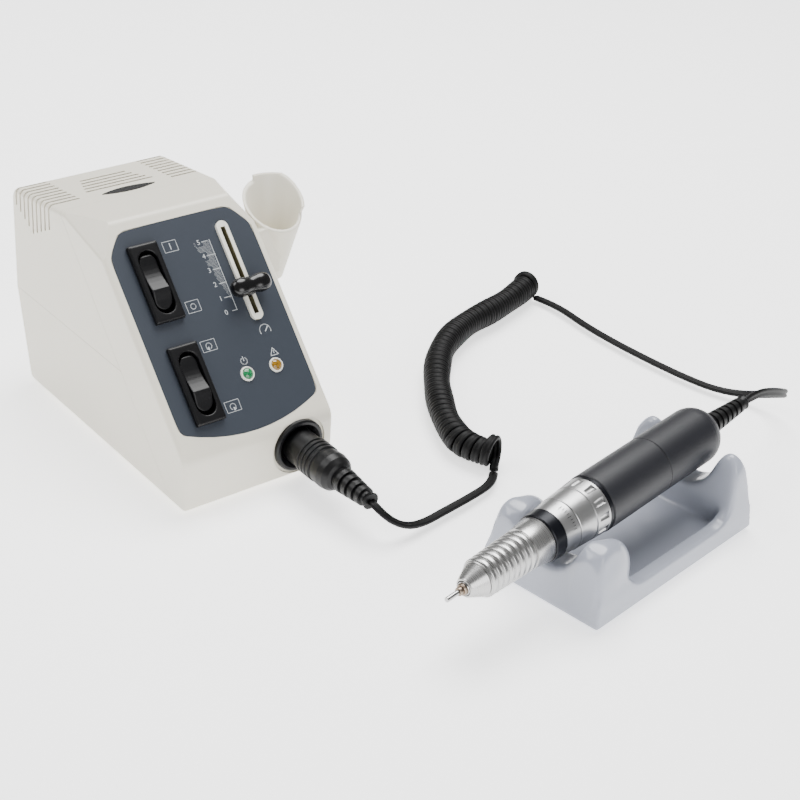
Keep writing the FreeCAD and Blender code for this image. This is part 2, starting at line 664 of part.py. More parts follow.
def lamps():
    for name in ("power_lamp", "overload_lamp"):
        across, up = size(name + "_x"), size("lamp_up")
        ring = panel_rod(name + "_ring_rim", across, up, size("lamp_ring_radius"), 0.02, 1.3)
        neck = panel_rod(name + "_ring_neck", across, up, size("lamp_ring_radius") - 0.8, -3.4, 4.0)
        bore = panel_rod(name + "_ring_bore", across, up, size("lamp_radius") + 0.05, -9.0, 18.0)
        node(cut(name + "_ring_cut", fuse(name + "_ring_solid", [ring, neck]), bore), name + "_ring")
        barrel = panel_rod(name + "_barrel", across, up, size("lamp_radius"), -7.0, 7.9)
        dome = primitive("Sphere", name + "_dome", PANEL, (across, up, 0.2), None, Radius=size("lamp_radius"))
        legs = [panel_block("%s_leg_%d" % (name, side), across + side * 1.27, up, (0.5, 0.5, 11.5),
                            0.0 - size("board_depth") + 0.5) for side in (-1, 1)]
        node(fuse(name + "_solid", [barrel, dome] + legs), name)


def board():
    plate = panel_block("board_plate", 0.0, 55.0,
                        (size("board_width"), size("board_length"), size("board_thick")),
                        0.0 - size("board_depth") - size("board_thick"))
    holes = [panel_rod("board_leg_hole_%s_%d" % (name, side), size(name + "_x") + side * 1.27,
                       size("lamp_up"),
                       0.5, -30.0, 20.0) for name in ("power_lamp", "overload_lamp") for side in (-1, 1)]
    node(cut("board_cut", plate, *holes), "circuit_board")
    low = 0.0 - size("board_depth") - size("board_thick")
    capacitor = rod("capacitor", PANEL, (-18.0, 40.0, low - 7.0), 5.0, 7.0)
    capacitor_two = rod("capacitor_two", PANEL, (-18.0, 54.0, low - 7.0), 5.0, 7.0)
    relay = panel_block("relay", 14.0, 30.0, (19.0, 15.0, 7.0), low - 7.0)
    chip = panel_block("chip", 10.0, 62.0, (8.0, 18.0, 4.0), low - 4.0)
    node(group("board_group", [capacitor, capacitor_two, relay, chip]), "board_components")
    fins = [panel_block("fin_%d" % index, 14.0 + 4 * index, 86.0, (1.4, 16.0, 8.0), low - 10.5)
            for index in range(5)]
    web = panel_block("fin_web", 22.0, 86.0, (17.4, 16.0, 2.5), low - 2.5)
    node(fuse("heat_sink_solid", fins + [web]), "heat_sink")


def transformer():
    """Laminated core with two windows, and a winding round its middle limb."""
    depth, width = size("core_depth"), size("core_width")
    floor = size("case_low") + size("wall") + 0.3
    front = size("core_y") - depth / 2
    yoke, limb_half = 9.0, 5.0
    core = block("core_block", UNIT, (-(width / 2), front, floor + 10), (width, depth, size("core_height")))
    windows = [block("core_window_%d" % index, UNIT, (x, front + yoke, floor), (14.0, depth - yoke * 2, 60.0))
               for index, x in enumerate((-14.0 - limb_half, limb_half))]
    brackets = [block("core_bracket_%d" % index, UNIT, (x, front, floor), (3.0, depth, 10.5))
                for index, x in enumerate((-(width / 2), width / 2 - 3))]
    node(fuse("core_solid", [cut("core_cut", core, *windows)] + brackets), "transformer_core")
    coil = block("winding_block", UNIT, (-13.7 - limb_half, front + yoke + 0.3, floor + 1),
                 (27.4 + limb_half * 2, depth - yoke * 2 - 0.6, size("winding_height") - 2))
    limb = block("winding_window", UNIT, (-0.3 - limb_half, front, floor + 9.7),
                 (limb_half * 2 + 0.6, depth, size("core_height") + 0.6))
    node(cut("winding_cut", coil, limb), "transformer_winding")


def rear_connectors():
    flange = block("inlet_flange", REAR, (-29.5, -11.8, 0.02), (32.0, 23.6, 1.8))
    body = block("inlet_body", REAR, (-26.7, -9.6, -16.0), (26.4, 19.2, 17.0))
    cavity = block("inlet_cavity", REAR, (-25.2, -8.0, -14.2), (23.4, 16.0, 20.0))
    shell = cut("inlet_shell", fuse("inlet_solid", [flange, body]), cavity)
    pins = []
    pin_gap = 7.0
    for index in range(3):
        low = 0.0 if index == 1 else -3.0
        pins.append(block("inlet_pin_%d" % index, REAR, (-14.5 + pin_gap * (index - 1), low, -15.0),
                          (2.0, 4.0, 10.0)))
    node(fuse("inlet_all", [shell] + pins), "mains_inlet")
    cap = rod("fuse_cap", REAR, (22, 0, 0.02), 7.6, 3.4)
    barrel = rod("fuse_barrel", REAR, (22, 0, -26), 6.2, 26.1)
    node(fuse("fuse_solid", [cap, barrel]), "fuse_holder")


# ---------------------------------------------------------------- holder

def holder_screw_heights():
    return (size("holder_foot_z") + 12, size("holder_foot_z") + 20)


def side_holder():
    """Cone-shaped rest for the handpiece, with a slanted mouth whose outer lip stands higher."""
    depth = size("holder_rim_z") - size("holder_foot_z")
    height = depth + 12
    grow = (size("holder_radius") - size("holder_foot_radius")) / depth
    place = (size("holder_x"), size("holder_y"), size("holder_foot_z"))
    top_radius = size("holder_foot_radius") + grow * height
    outer = primitive("Cone", "holder_outer", UNIT, place, None, Radius1=size("holder_foot_radius"),
                      Radius2=top_radius, Height=height)
    bracket = block("holder_bracket", UNIT, (size("case_width") / 2 + 0.3, size("holder_y") - 9,
                                             size("holder_foot_z") + 6),
                    (14.0, 18.0, 26.0))
    inner = primitive("Cone", "holder_inner", UNIT, (place[0], place[1], place[2] + 2.5), None,
                      Radius1=size("holder_foot_radius") - size("holder_wall") + 0.7,
                      Radius2=top_radius - size("holder_wall") + 0.7, Height=height)
    drain = rod("holder_drain", UNIT, (place[0], place[1], place[2] - 2), 1.6, 10.0)
    slant = Rotation(X_AXIS, float(size("holder_slant")))
    mouth = UNIT * Placement(vector((size("holder_x"), size("holder_y"), size("holder_rim_z"))), slant)
    above_all = block("holder_above", mouth, (-40, -40, 4.5), (80.0, 80.0, 40.0))
    above_low = block("holder_lower_lip", mouth, (-40, -40, 0), (80.0, 80.0, 40.0))
    keep_high = block("holder_high_lip", mouth, (-2.0, -6.0, -1), (40.0, 40.0, 50.0))
    wall_side = block("holder_flat", UNIT, (0, 0, 0), (size("case_width") / 2 + 0.3, 200.0, 200.0))
    low_cut = cut("holder_low_cut", above_low, keep_high)
    body = fuse("holder_solid", [outer, bracket])
    node(cut("side_holder_cut", body, inner, drain, above_all, low_cut, wall_side), "side_holder")
    pins = []
    for index, z in enumerate(holder_screw_heights()):
        inside = size("case_width") / 2 - size("wall")
        shank = rod("holder_screw_shank_%d" % index, UNIT, (inside - 1, size("holder_y"), z), 1.4,
                    size("wall") + 1.2, X_AXIS)
        head = rod("holder_screw_head_%d" % index, UNIT, (inside - 1.7, size("holder_y"), z), 2.6, 1.65,
                   X_AXIS)
        pins.append(fuse("holder_screw_%d" % index, [shank, head]))
    node(group("holder_screw_group", pins), "holder_screws")


# ---------------------------------------------------------------- socket and plug

def socket_and_plug():
    """Stations run out of the front of the unit, so the inside of the unit is negative."""
    flange, bore = size("flange_radius"), size("socket_bore")
    nose = size("plug_nose_radius") + 0.1
    node(turned("handpiece_socket_body", SOCKET, [
        (-14, nose), (-14, bore + 1.6), (-3.9, bore + 1.6), (-1.1, flange - 2.2), (-1.1, flange),
        (0.6, flange),
        (1.4, flange - 0.8), (1.4, flange - 2.0), (-1.5, bore), (-4, bore), (-4, nose)]), "handpiece_socket")
    radius, length = size("plug_radius"), size("plug_length")
    profile = [(-12.5, 0), (-12.5, size("plug_nose_radius")), (-3.5, size("plug_nose_radius")),
               (-3.5, radius),
               (10.0, radius)]
    for rib in range(4):
        start = 10.0 + 2.8 * rib
        profile += [(start + 0.5, radius + 0.7), (start + 1.9, radius + 0.7), (start + 2.3, radius)]
    profile += [(23.0, radius + 0.4), (27.0, radius + 0.6), (30.5, radius), (33.0, radius - 1.7),
                (length, radius - 3.4), (length, 0)]
    node(turned("socket_plug_body", SOCKET, profile), "socket_plug")
    end = length + size("relief_length")
    relief = [(length + 0.02, 0), (length + 0.02, 5.4)]
    for rib in range(4):
        start = float(length) + 3.0 + 4.6 * rib
        wide = 6.3 - 0.45 * rib
        relief += [(start, wide), (start + 2.6, wide - 0.2), (start + 2.7, wide - 1.5),
                   (start + 4.5, wide - 1.7)]
    relief += [(end - 0.4, 4.4), (end, 4.0), (end, 0)]
    node(turned("plug_relief_body", SOCKET, relief), "plug_strain_relief")


# ---------------------------------------------------------------- handpiece

def handpiece_shells():
    nose, bore = size("nose_radius"), 3.45
    cone_end, rib_end = size("cone_end"), size("rib_end")
    profile = [(0, bore), (0, nose - 0.5), (0.5, nose), (cone_end, size("cone_radius")),
               (cone_end + 0.5, size("rib_radius"))]
    count = int(float(size("rib_count")))
    pitch = (rib_end - cone_end) / count
    for rib in range(count):
        start = cone_end + pitch * rib
        crest = size("rib_radius") + 0.09 * rib
        profile += [(start + 0.6, crest), (start + pitch * 0.45, crest), (start + pitch * 0.62, crest - 1.0),
                    (start + pitch * 0.9, crest - 1.0)]
    profile += [(rib_end, size("rib_radius") + 0.7), (size("taper_end"), size("taper_radius")),
                (size("taper_end"), 9.0), (40.0, 9.0), (40.0, 6.5), (12.0, 6.5), (12.0, bore)]
    node(turned("nose_sleeve_body", HANDPIECE, profile), "nose_sleeve")
    start, band = size("taper_end"), size("band_end")
    node(turned("black_band_body", HANDPIECE, [
        (start + 0.05, 7.0), (start + 0.05, 11.3), (start + 0.5, 11.6), (band - 0.5, 11.9),
        (band - 0.05, 11.6),
        (band - 0.05, 7.0)]), "black_band")
    index_end = size("index_end")
    node(turned("index_sleeve_body", HANDPIECE, [
        (band + 0.05, 7.0), (band + 0.05, 11.7), (index_end - 0.3, size("index_radius")),
        (index_end - 0.05, size("index_radius") - 0.2), (index_end - 0.05, 10.55),
        (size("twist_end") + 2.1, 10.55),
        (size("twist_end") + 2.1, 7.0)]), "index_sleeve")
    twist_end, wide = size("twist_end"), size("twist_radius")
    ring = turned("chuck_ring_raw", HANDPIECE, [
        (index_end + 0.1, 10.6), (index_end + 0.1, size("index_radius")),
        (index_end + 0.4, size("index_radius") + 0.2),
        (74.0, 13.3), (74.3, 13.0), (74.8, 13.0), (75.1, 13.4), (twist_end - 0.4, wide),
        (twist_end - 0.1, wide - 0.3),
        (twist_end - 0.1, 10.6)])
    scallops = []
    for number in range(12):
        angle = 30.0 * number + 15.0
        spot = HANDPIECE * Placement(Vector(76.5, 0, 0),
                                     Rotation(X_AXIS, angle)) * Placement(Vector(0, 15.4, 0), Rotation())
        scallops.append(rod("scallop_%d" % number, spot, (0, 0, 0), 2.4, 6.0, X_AXIS))
    node(cut("chuck_ring_cut", ring, *scallops), "chuck_ring")
    grip = size("grip_radius")
    node(turned("joint_ring_body", HANDPIECE, [
        (twist_end + 0.1, 10.6), (twist_end + 0.1, 13.7), (size("grip_start") - 0.05, 13.7),
        (size("grip_start") - 0.05, 10.6)]), "joint_ring")
    seam = size("grip_seam")
    node(turned("front_grip_body", HANDPIECE, [
        (size("grip_start"), 12.35), (size("grip_start"), grip - 0.4), (size("grip_start") + 0.4, grip),
        (seam - 0.4, grip), (seam - 0.1, grip - 0.3), (seam - 0.1, 12.35)]), "front_grip")
    rear = [(seam + 0.1, 12.35), (seam + 0.1, grip - 0.3), (seam + 0.4, grip)]
    dome = 10.0
    steps = 7
    for index in range(steps + 1):
        angle = math.radians(78.0 * index / steps)
        rear.append((size("grip_end") - dome + dome * math.sin(angle),
                     grip - dome * 0.8 * (1 - math.cos(angle))))
    rear += [(size("grip_end"), 7.0), (size("grip_end"), 5.2), (171.0, 5.2), (171.0, 12.0), (168.0, 12.35)]
    node(turned("rear_grip_body", HANDPIECE, rear), "rear_grip")


def handpiece_inside():
    gap = size("running_gap")
    shank = size("shank_radius")
    tip = size("collet_tip")
    groove = shank - 0.25
    # the shank is straight, with a narrow groove where the jaws begin to grip it
    node(turned("mandrel_pin_body", HANDPIECE, [
        (size("pin_tip"), 0), (size("pin_tip"), shank - 0.15), (size("pin_tip") + 0.15, shank),
        (tip - 0.1, shank),
        (tip - 0.1, groove), (tip + 0.7, groove), (tip + 0.7, shank), (14.0, shank), (14.0, 0)]),
        "mandrel_pin")
    node(turned("collet_body", HANDPIECE, [
        (tip, shank + 0.02), (tip, 1.75), (tip + 0.3, 1.95), (-1.9, 1.95), (-1.9, 2.45), (-1.2, 2.75),
        (16.0, 2.75), (16.0, shank + 0.02)]), "collet")
    bore = 2.85
    node(turned("spindle_body", HANDPIECE, [
        (-0.4, bore), (-0.4, 3.1), (0.0, 3.3), (10.0, 3.3), (10.0, 3.2), (81.5, 3.2), (81.5, 0), (18.5, 0),
        (18.5, bore)]),
        "spindle")
    washers = []
    for index in range(6):
        start = 42.0 + 1.6 * index
        lean = 0.5 if index % 2 else -0.5
        washers.append(turned("disc_spring_%d" % index, HANDPIECE, [
            (start - lean, 3.4), (start + lean, 6.4), (start + lean + 0.6, 6.4), (start - lean + 0.6, 3.4)]))
    node(group("disc_spring_group", washers), "chuck_springs")
    bearings = []
    for index, start in enumerate((12.5, 30.0, 66.0)):
        bearings.append(turned("spindle_bearing_%d" % index, HANDPIECE, [
            (start, 3.2 + gap), (start, 6.45), (start + 5, 6.45), (start + 5, 3.2 + gap)]))
    node(group("spindle_bearing_group", bearings), "spindle_bearings")
    node(turned("drive_coupling_body", HANDPIECE, [
        (81.6, 0), (81.6, 4.2), (91.8, 4.2), (91.8, 0)]), "drive_coupling")
    node(turned("motor_rotor_body", HANDPIECE, [
        (91.9, 0), (91.9, 1.5), (104.0, 1.5), (104.0, 8.6), (134.0, 8.6), (134.0, 1.5), (162.0, 1.5),
        (162.0, 0)]),
        "motor_rotor")
    node(turned("commutator_body", HANDPIECE, [
        (139.0, 1.51), (139.0, 4.0), (149.0, 4.0), (149.0, 1.51)]), "commutator")
    node(turned("motor_can_body", HANDPIECE, [
        (93.0, 1.5 + gap), (93.0, 12.2), (165.0, 12.2), (165.0, 11.3), (96.5, 11.3), (96.5, 1.5 + gap)]),
        "motor_can")
    ring = turned("magnet_ring", HANDPIECE, [(101.0, 9.0), (101.0, 11.25), (137.0, 11.25), (137.0, 9.0)])
    split = block("magnet_split", HANDPIECE, (90, -15, -2.5), (60.0, 30.0, 5.0))
    node(cut("magnet_cut", ring, split), "motor_magnets")
    node(turned("motor_end_cap_body", HANDPIECE, [
        (157.0, 1.5 + gap), (157.0, 11.25), (164.9, 11.25), (164.9, 1.5 + gap)]), "motor_end_cap")
    brushes = [block("brush_%d" % side, HANDPIECE, (141.0, 4.05 if side > 0 else -9.5, -1.8),
                     (6.0, 5.45, 3.6))
               for side in (-1, 1)]
    node(group("brush_group", brushes), "carbon_brushes")


def cord_boot():
    """Tapered oval boot with ribs that saves the lead where it leaves the handpiece."""
    start, end = size("grip_end") + 0.05, size("boot_end")
    points = [(start - 3.9, 0), (start - 3.9, 5.1), (start, 5.1), (start, 6.0)]
    count = 7
    pitch = (end - start - 4) / count
    for rib in range(count):
        at = start + 2 + pitch * rib
        wide = 5.6 - 0.28 * rib
        points += [(at, wide), (at + pitch * 0.55, wide - 0.1), (at + pitch * 0.6, wide - 0.9),
                   (at + pitch * 0.95, wide - 1.0)]
    points += [(end - 0.5, 3.7), (end, 3.4), (end, 0)]
    node(turned("cord_boot_body", HANDPIECE, points), "cord_boot")


# ---------------------------------------------------------------- cradle

def cradle():
    length, width = size("cradle_length"), size("cradle_width")
    front_u, front_z = size("front_lobe_u"), size("front_lobe_z")
    rear_u, rear_z = size("rear_lobe_u"), size("rear_lobe_z")
    wall_z = size("cradle_wall_z")
    side_view = [(0.6, 0), (0, 1.5), (1.0, 12.0), (3.2, front_z - 8), (5.2, front_z - 2),
                 (7.4, front_z - 0.2),
                 (front_u + 1, front_z), (front_u + 3.5, front_z - 1.4), (front_u + 6.5, front_z - 6),
                 (front_u + 10, front_z - 15),
                 (front_u + 14, front_z - 22), (front_u + 20, wall_z + 1.2), (front_u + 26, wall_z),
                 (rear_u - 20, wall_z),
                 (rear_u - 13, wall_z + 1.5), (rear_u - 9, wall_z + 6), (rear_u - 6, wall_z + 15),
                 (rear_u - 4, rear_z - 6),
                 (rear_u - 2.2, rear_z - 1.2), (rear_u, rear_z), (rear_u + 2.6, rear_z - 0.9),
                 (rear_u + 4.6, rear_z - 5),
                 (length - 1.6, 22.0), (length, 1.5), (length - 0.6, 0)]
    half = float(width) / 2
    lobe = size("lobe_half_gap")
    right_half = [(half - 0.4, 0), (half, 1.2), (half - 1.0, 10.5), (half - 3.0, 22.0), (lobe + 7.0, 33.0),
                  (lobe + 4.2, 38.0), (lobe + 1.5, 40.4), (lobe - 1.2, 40.5), (lobe - 3.6, 38.6),
                  (lobe - 5.6, 35.0),
                  (15.4, 30.0)]
    notch = []
    steps = 10
    for index in range(1, steps):
        angle = math.radians(180.0 * index / steps)
        notch.append((14.9 * math.cos(angle), 33.0 - 11.6 * math.sin(angle) - 3.0))
    left_half = [(0 - across, up) for across, up in reversed(right_half)]
    end_view = right_half + notch + left_half
    along = prism("cradle_side_view", CRADLE, side_view, width, UPRIGHT_ALONG, (0, width / 2, 0))
    across = prism("cradle_end_view", CRADLE, end_view, length * 2, UPRIGHT_ACROSS,
                   (length / 2, width / 2, 0))
    body = common("cradle_blank", along, across)
    floor = size("cradle_floor")
    trough = block("cradle_trough", CRADLE, (front_u + 9.5, 8.0, floor),
                   (rear_u - front_u - 18, width - 16, 60.0))
    bed = turned("cradle_bed", HANDPIECE, [(-30, 0), (-30, 12.0), (48.0, 12.2), (56.0, 12.3), (64.0, 13.1),
                                           (86.0, 14.5),
                                           (240.0, 14.5), (240.0, 0)])
    seats = [rod("pad_seat_%d" % index, CRADLE, (x, y, -1), size("pad_radius") + 0.1,
                 size("pad_thick") + 1.02)
             for index, (x, y) in enumerate(pad_places())]
    node(cut("cradle_cut", body, trough, bed, *seats), "handpiece_cradle")
    pads = [rod("pad_%d" % index, CRADLE, (x, y, 0), size("pad_radius"), size("pad_thick"))
            for index, (x, y) in enumerate(pad_places())]
    node(group("pad_group", pads), "cradle_pads")


def pad_places():
    length, width = size("cradle_length"), size("cradle_width")
    return [(x, y) for x in (12.0, length - 12) for y in (12.0, width - 12)]


# ---------------------------------------------------------------- lead

def to_world(frame, point):
    return frame.multVec(vector(point))


def bent_tube(name, points, radius):
    """A round tube of straight runs joined by tangent arcs, as large as their two runs allow."""
    corners = [vector(point) for point in points]
    starts = [corners[0]]
    edges = []
    radii = []
    for before, here, after in zip(corners, corners[1:], corners[2:]):
        come, leave = here - before, after - here
        turn = come.getAngle(leave)
        shorter = min(come.Length, leave.Length)
        trim = 0.45 * shorter
        radii.append(trim / math.tan(turn / 2))
        come.normalize()
        leave.normalize()
        enter, depart = here - come * trim, here + leave * trim
        toward = (leave - come).normalize()
        middle = here + toward * (radii[-1] / math.cos(turn / 2) - radii[-1])
        edges.append(Part.LineSegment(starts[-1], enter).toShape())
        edges.append(Part.Arc(enter, middle, depart).toShape())
        starts.append(depart)
    edges.append(Part.LineSegment(starts[-1], corners[-1]).toShape())
    wire = Part.Wire(edges)
    first = (corners[1] - corners[0]).normalize()
    ring = Part.Wire([Part.makeCircle(float(radius), corners[0], first)])
    solid = wire.makePipeShell([ring], True, False, 2)
    obj = doc.addObject("Part::Feature", name)
    obj.Shape = solid
    expected = math.pi * float(radius) ** 2 * wire.Length
    print("%s: length %.1f, volume ratio %.4f, radii %s"
          % (name, wire.Length, solid.Volume / expected, [round(value, 1) for value in radii]))
    return node(obj, name)


def lead():
    """The whole lead lies on the table: a flat lead, a curly middle and a flat lead again."""
    radius, coil = size("lead_radius"), size("coil_radius")
    plug_end = to_world(SOCKET, (size("plug_length") + size("relief_length") + 0.02, 0, 0))
    low = float(radius)
    unit = lambda x, y, z: to_world(UNIT, (x, y, z))
    bent_tube("lead_plug_end", [plug_end, unit(22.9, -63.8, 15.4), unit(28.2, -68.4, 9.6),
                                unit(36.6, -69.8, 4.8),
                                unit(47.5, -68.6, low), unit(61.5, -66.4, low), unit(79.5, -63.9, low),
                                unit(97.0, -60.3, low), unit(112.0, -52.2, low + 0.6)], radius)
    height = float(coil)
    bent_tube("lead_coil", [unit(111.5, -49.5, height), unit(101.0, -35.0, height),
                            unit(106.5, -13.5, height),
                            unit(117.0, 6.0, height), unit(133.5, 30.0, height), unit(156.0, 53.0, height),
                            unit(183.0, 66.5, height), unit(212.0, 72.0, height), unit(236.0, 79.5, height),
                            unit(251.5, 86.5, height)], coil)
    boot_end = to_world(HANDPIECE, (size("boot_end") + 0.02, 0, 0))
    out = HANDPIECE.Rotation.multVec(X_AXIS)
    bent_tube("lead_handpiece_end", [
        unit(255.5, 83.0, low + 1.5), unit(252.0, 61.0, low), unit(249.6, 37.0, low), unit(250.0, 12.0, low),
        unit(252.3, -13.0, low), unit(255.5, -36.5, low), unit(260.5, -56.0, low), unit(268.5, -70.5, 4.0),
        unit(272.5, -84.5, 10.5), unit(266.5, -97.5, 19.0), unit(253.5, -105.5, 27.5),
        unit(237.5, -110.0, 35.5),
        boot_end + out * 12.0, boot_end], radius)


front_bezel()
panel_overlay()
rear_shells()
node(badge_block("badge_body", 0.0), "badge_plate")
feet_and_screws()
switch("power", size("power_up"))
switch("direction", size("direction_up"))
speed_slider()
lamps()
board()
transformer()
rear_connectors()
side_holder()
socket_and_plug()
handpiece_shells()
handpiece_inside()
cord_boot()
cradle()
lead()

doc.recompute()
failed = [obj.Name for obj in doc.Objects if "Invalid" in obj.State or "Error" in obj.State]
if failed:
    raise RuntimeError("features failed: %s" % failed)
for part in PARTS:
    if part.Shape.isNull() or not part.Shape.isValid() or not part.Shape.Solids:
        raise RuntimeError("%s has no valid solid" % part.Label)

os.makedirs("parts", exist_ok=True)
for part in PARTS:
    part.Shape.exportStep("parts/%s.step" % part.Label)
    box = part.Shape.BoundBox
    print("%-22s solids %d volume %9.1f  x %.1f..%.1f y %.1f..%.1f z %.1f..%.1f" % (
        part.Label, len(part.Shape.Solids), part.Shape.Volume,
        box.XMin, box.XMax, box.YMin, box.YMax, box.ZMin, box.ZMax))
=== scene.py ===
# %% [markdown]
# # Electric nail drill, looks in Blender
# The CAD model gives every place and size. This notebook loads it as a fixed frame, gives every
# part a finish of its own, and makes anew what a lathe or a mould gives a softer shape: the curly
# lead, the cradle, the side holder, the keys and the print on the panel.

# %% Load the frame
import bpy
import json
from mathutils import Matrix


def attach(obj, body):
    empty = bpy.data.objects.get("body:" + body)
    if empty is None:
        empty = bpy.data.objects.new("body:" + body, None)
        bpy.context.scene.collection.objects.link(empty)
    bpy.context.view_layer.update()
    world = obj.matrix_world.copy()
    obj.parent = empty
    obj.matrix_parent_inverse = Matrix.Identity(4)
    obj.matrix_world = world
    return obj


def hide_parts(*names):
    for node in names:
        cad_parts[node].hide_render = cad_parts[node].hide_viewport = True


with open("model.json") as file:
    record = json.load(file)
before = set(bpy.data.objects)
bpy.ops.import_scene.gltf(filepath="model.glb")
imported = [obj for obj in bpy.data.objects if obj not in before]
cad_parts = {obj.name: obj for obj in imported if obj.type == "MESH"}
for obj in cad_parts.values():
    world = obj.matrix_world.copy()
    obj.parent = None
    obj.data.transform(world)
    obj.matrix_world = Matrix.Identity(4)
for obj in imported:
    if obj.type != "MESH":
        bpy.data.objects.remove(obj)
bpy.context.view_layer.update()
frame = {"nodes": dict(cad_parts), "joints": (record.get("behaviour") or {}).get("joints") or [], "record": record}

# %% Tools
import json
import math

import bmesh
import bpy
from mathutils import Matrix, Vector
from mathutils.kdtree import KDTree

NODES = frame["nodes"]
JOINTS = {joint["name"]: joint for joint in frame["joints"]}
SLOT_OF = {part["node"]: part["material_slot"] for part in frame["record"]["subparts"]}
MM = 0.001

# %% [markdown]
# ## Frames to build in
# Two frames save most of the arithmetic. The panel's frame has X across the panel, Y up its slope
# and Z out of it. The handpiece's frame has X along the lathe axis, counted from the mouth of the
# nose. Both come from the joints, because a rocker's pin and the spindle already lie in them.

# %% Panel and handpiece frames
ROCKER_ACROSS, ROCKER_UP, ROCKER_DEEP = -22.3 * MM, 85.0 * MM, 2.0 * MM
SPINDLE_STATION = 40.0 * MM


def axes_matrix(x_axis, y_axis, origin):
    """A frame from two of its axes and its origin."""
    z_axis = x_axis.cross(y_axis)
    rows = Matrix((x_axis, y_axis, z_axis)).transposed().to_4x4()
    return Matrix.Translation(origin) @ rows


ACROSS = Vector((1, 0, 0))
UPHILL = Vector(JOINTS["speed_slide"]["axis"]).normalized()
OUTWARD = ACROSS.cross(UPHILL)
rocker_pin = Vector(JOINTS["power_rocker_tilt"]["pos_m"])
panel_origin = rocker_pin - ACROSS * ROCKER_ACROSS - UPHILL * ROCKER_UP + OUTWARD * ROCKER_DEEP
PANEL = axes_matrix(ACROSS, UPHILL, panel_origin)

AXIS = Vector(JOINTS["spindle_spin"]["axis"]).normalized()
NOSE = Vector(JOINTS["spindle_spin"]["pos_m"]) - AXIS * SPINDLE_STATION
SIDE = Vector((0, 0, 1)).cross(AXIS).normalized()
HANDPIECE = axes_matrix(AXIS, SIDE, NOSE)
UNIT = Vector((panel_origin.x, panel_origin.y, 0))
print("panel at", [round(v, 4) for v in panel_origin], "nose at", [round(v, 4) for v in NOSE])

# %% [markdown]
# ## Camera
# A long lens from the front left, a little above: the panel faces us and the lead draws its curve
# across the table. The camera turns about its own axis by a few degrees, as a hand-held one does.

# %% Camera
AZIMUTH, ELEVATION, ROLL = (math.radians(angle) for angle in (-40.26, 30.59, 4.28))
DISTANCE, LENS = 0.9411, 80.2
LOOK_AT = Vector((0.0270, 0.0358, 0.0))

back = Vector((math.sin(AZIMUTH) * math.cos(ELEVATION), -math.cos(AZIMUTH) * math.cos(ELEVATION),
               math.sin(ELEVATION)))
right = Vector((math.cos(AZIMUTH), math.sin(AZIMUTH), 0))
camera = bpy.data.objects.new("camera", bpy.data.cameras.new("camera"))
bpy.context.scene.collection.objects.link(camera)
stand = axes_matrix(right, back.cross(right), LOOK_AT + back * DISTANCE)
camera.matrix_world = stand @ Matrix.Rotation(ROLL, 4, "Z")
camera.data.lens = LENS
bpy.context.scene.camera = camera
print("camera at", [round(v, 3) for v in camera.location])

# %% [markdown]
# ## The lead
# The real lead is a flat twin: two round sheaths side by side. It leaves the handpiece, falls to
# the table, runs into a curl that was wound on a rod and heat-set, and ends in the plug. The route
# is one smooth curve whose control points are listed, and the curl is a loop that adds
# control points round the middle line of the coil. A smooth curve through all of them is then read
# back as points, and a figure-of-eight outline is swept along it.

# %% Route of the lead
COIL_HIGH = 7.4
BOOT_STRAIGHT = 12 * MM
BOOT_STATION, SOCKET_ACROSS, SOCKET_HIGH, RELIEF_OUT = 209.02, 22.6, 17.2, 58.02


def unit_point(x, y, z):
    """A point given in millimetres from the front of the control unit, on the table."""
    return UNIT + Vector((x, y, z)) * MM


def link(name, data):
    made = bpy.data.objects.new(name, data)
    bpy.context.scene.collection.objects.link(made)
    return made


def smooth_line(points, resolution=6):
    """The points of the smooth curve that has these control points."""
    curve = bpy.data.curves.new("line", "CURVE")
    curve.dimensions = "3D"
    curve.resolution_u = resolution
    spline = curve.splines.new("NURBS")
    spline.points.add(len(points) - 1)
    for target, point in zip(spline.points, points):
        target.co = (*point, 1.0)
    spline.order_u = 3
    spline.use_endpoint_u = True
    carrier = bpy.data.objects.new("line", curve)
    mesh = bpy.data.meshes.new_from_object(carrier)
    line = [vertex.co.copy() for vertex in mesh.vertices]
    bpy.data.objects.remove(carrier)
    bpy.data.curves.remove(curve)
    bpy.data.meshes.remove(mesh)
    return line


boot_end = HANDPIECE @ Vector((BOOT_STATION * MM, 0, 0))
plug_end = unit_point(SOCKET_ACROSS, -RELIEF_OUT, SOCKET_HIGH)
handpiece_route = [boot_end, boot_end + AXIS * BOOT_STRAIGHT] + [unit_point(*place) for place in (
    (237.5, -110.0, 35.5), (253.5, -105.5, 27.5), (266.5, -97.5, 19.0), (272.5, -84.5, 10.5),
    (268.5, -70.5, 4.0), (260.5, -56.0, 2.4), (255.5, -36.5, 2.4), (252.3, -13.0, 2.4),
    (250.0, 12.0, 2.4), (249.6, 37.0, 2.4), (252.0, 61.0, 2.4))]
coil_route = [unit_point(x, y, COIL_HIGH) for x, y in (
    (251.5, 86.5), (236.0, 79.5), (212.0, 72.0), (183.0, 66.5), (156.0, 53.0), (133.5, 30.0), (117.0, 6.0),
    (106.5, -13.5), (101.0, -35.0), (111.5, -49.5))]
plug_route = [unit_point(*place) for place in (
    (97.0, -60.3, 2.4), (79.5, -63.9, 2.4), (61.5, -66.4, 2.4), (47.5, -68.6, 2.4), (36.6, -69.8, 4.8),
    (28.2, -68.4, 9.6), (22.9, -63.8, 15.4))] + [plug_end]
print(len(handpiece_route), "+", len(coil_route), "+", len(plug_route), "route points")

# %% [markdown]
# ## The curl
# On the real lead the curl is the same flat twin, wound close on a rod while warm. It could be a
# Screw modifier on a short piece, but that makes only a straight coil of equal turns. Points set
# round the coil's middle line follow its bends, and let the end turns spring open a little and
# each turn differ from the next, as wound leads do.

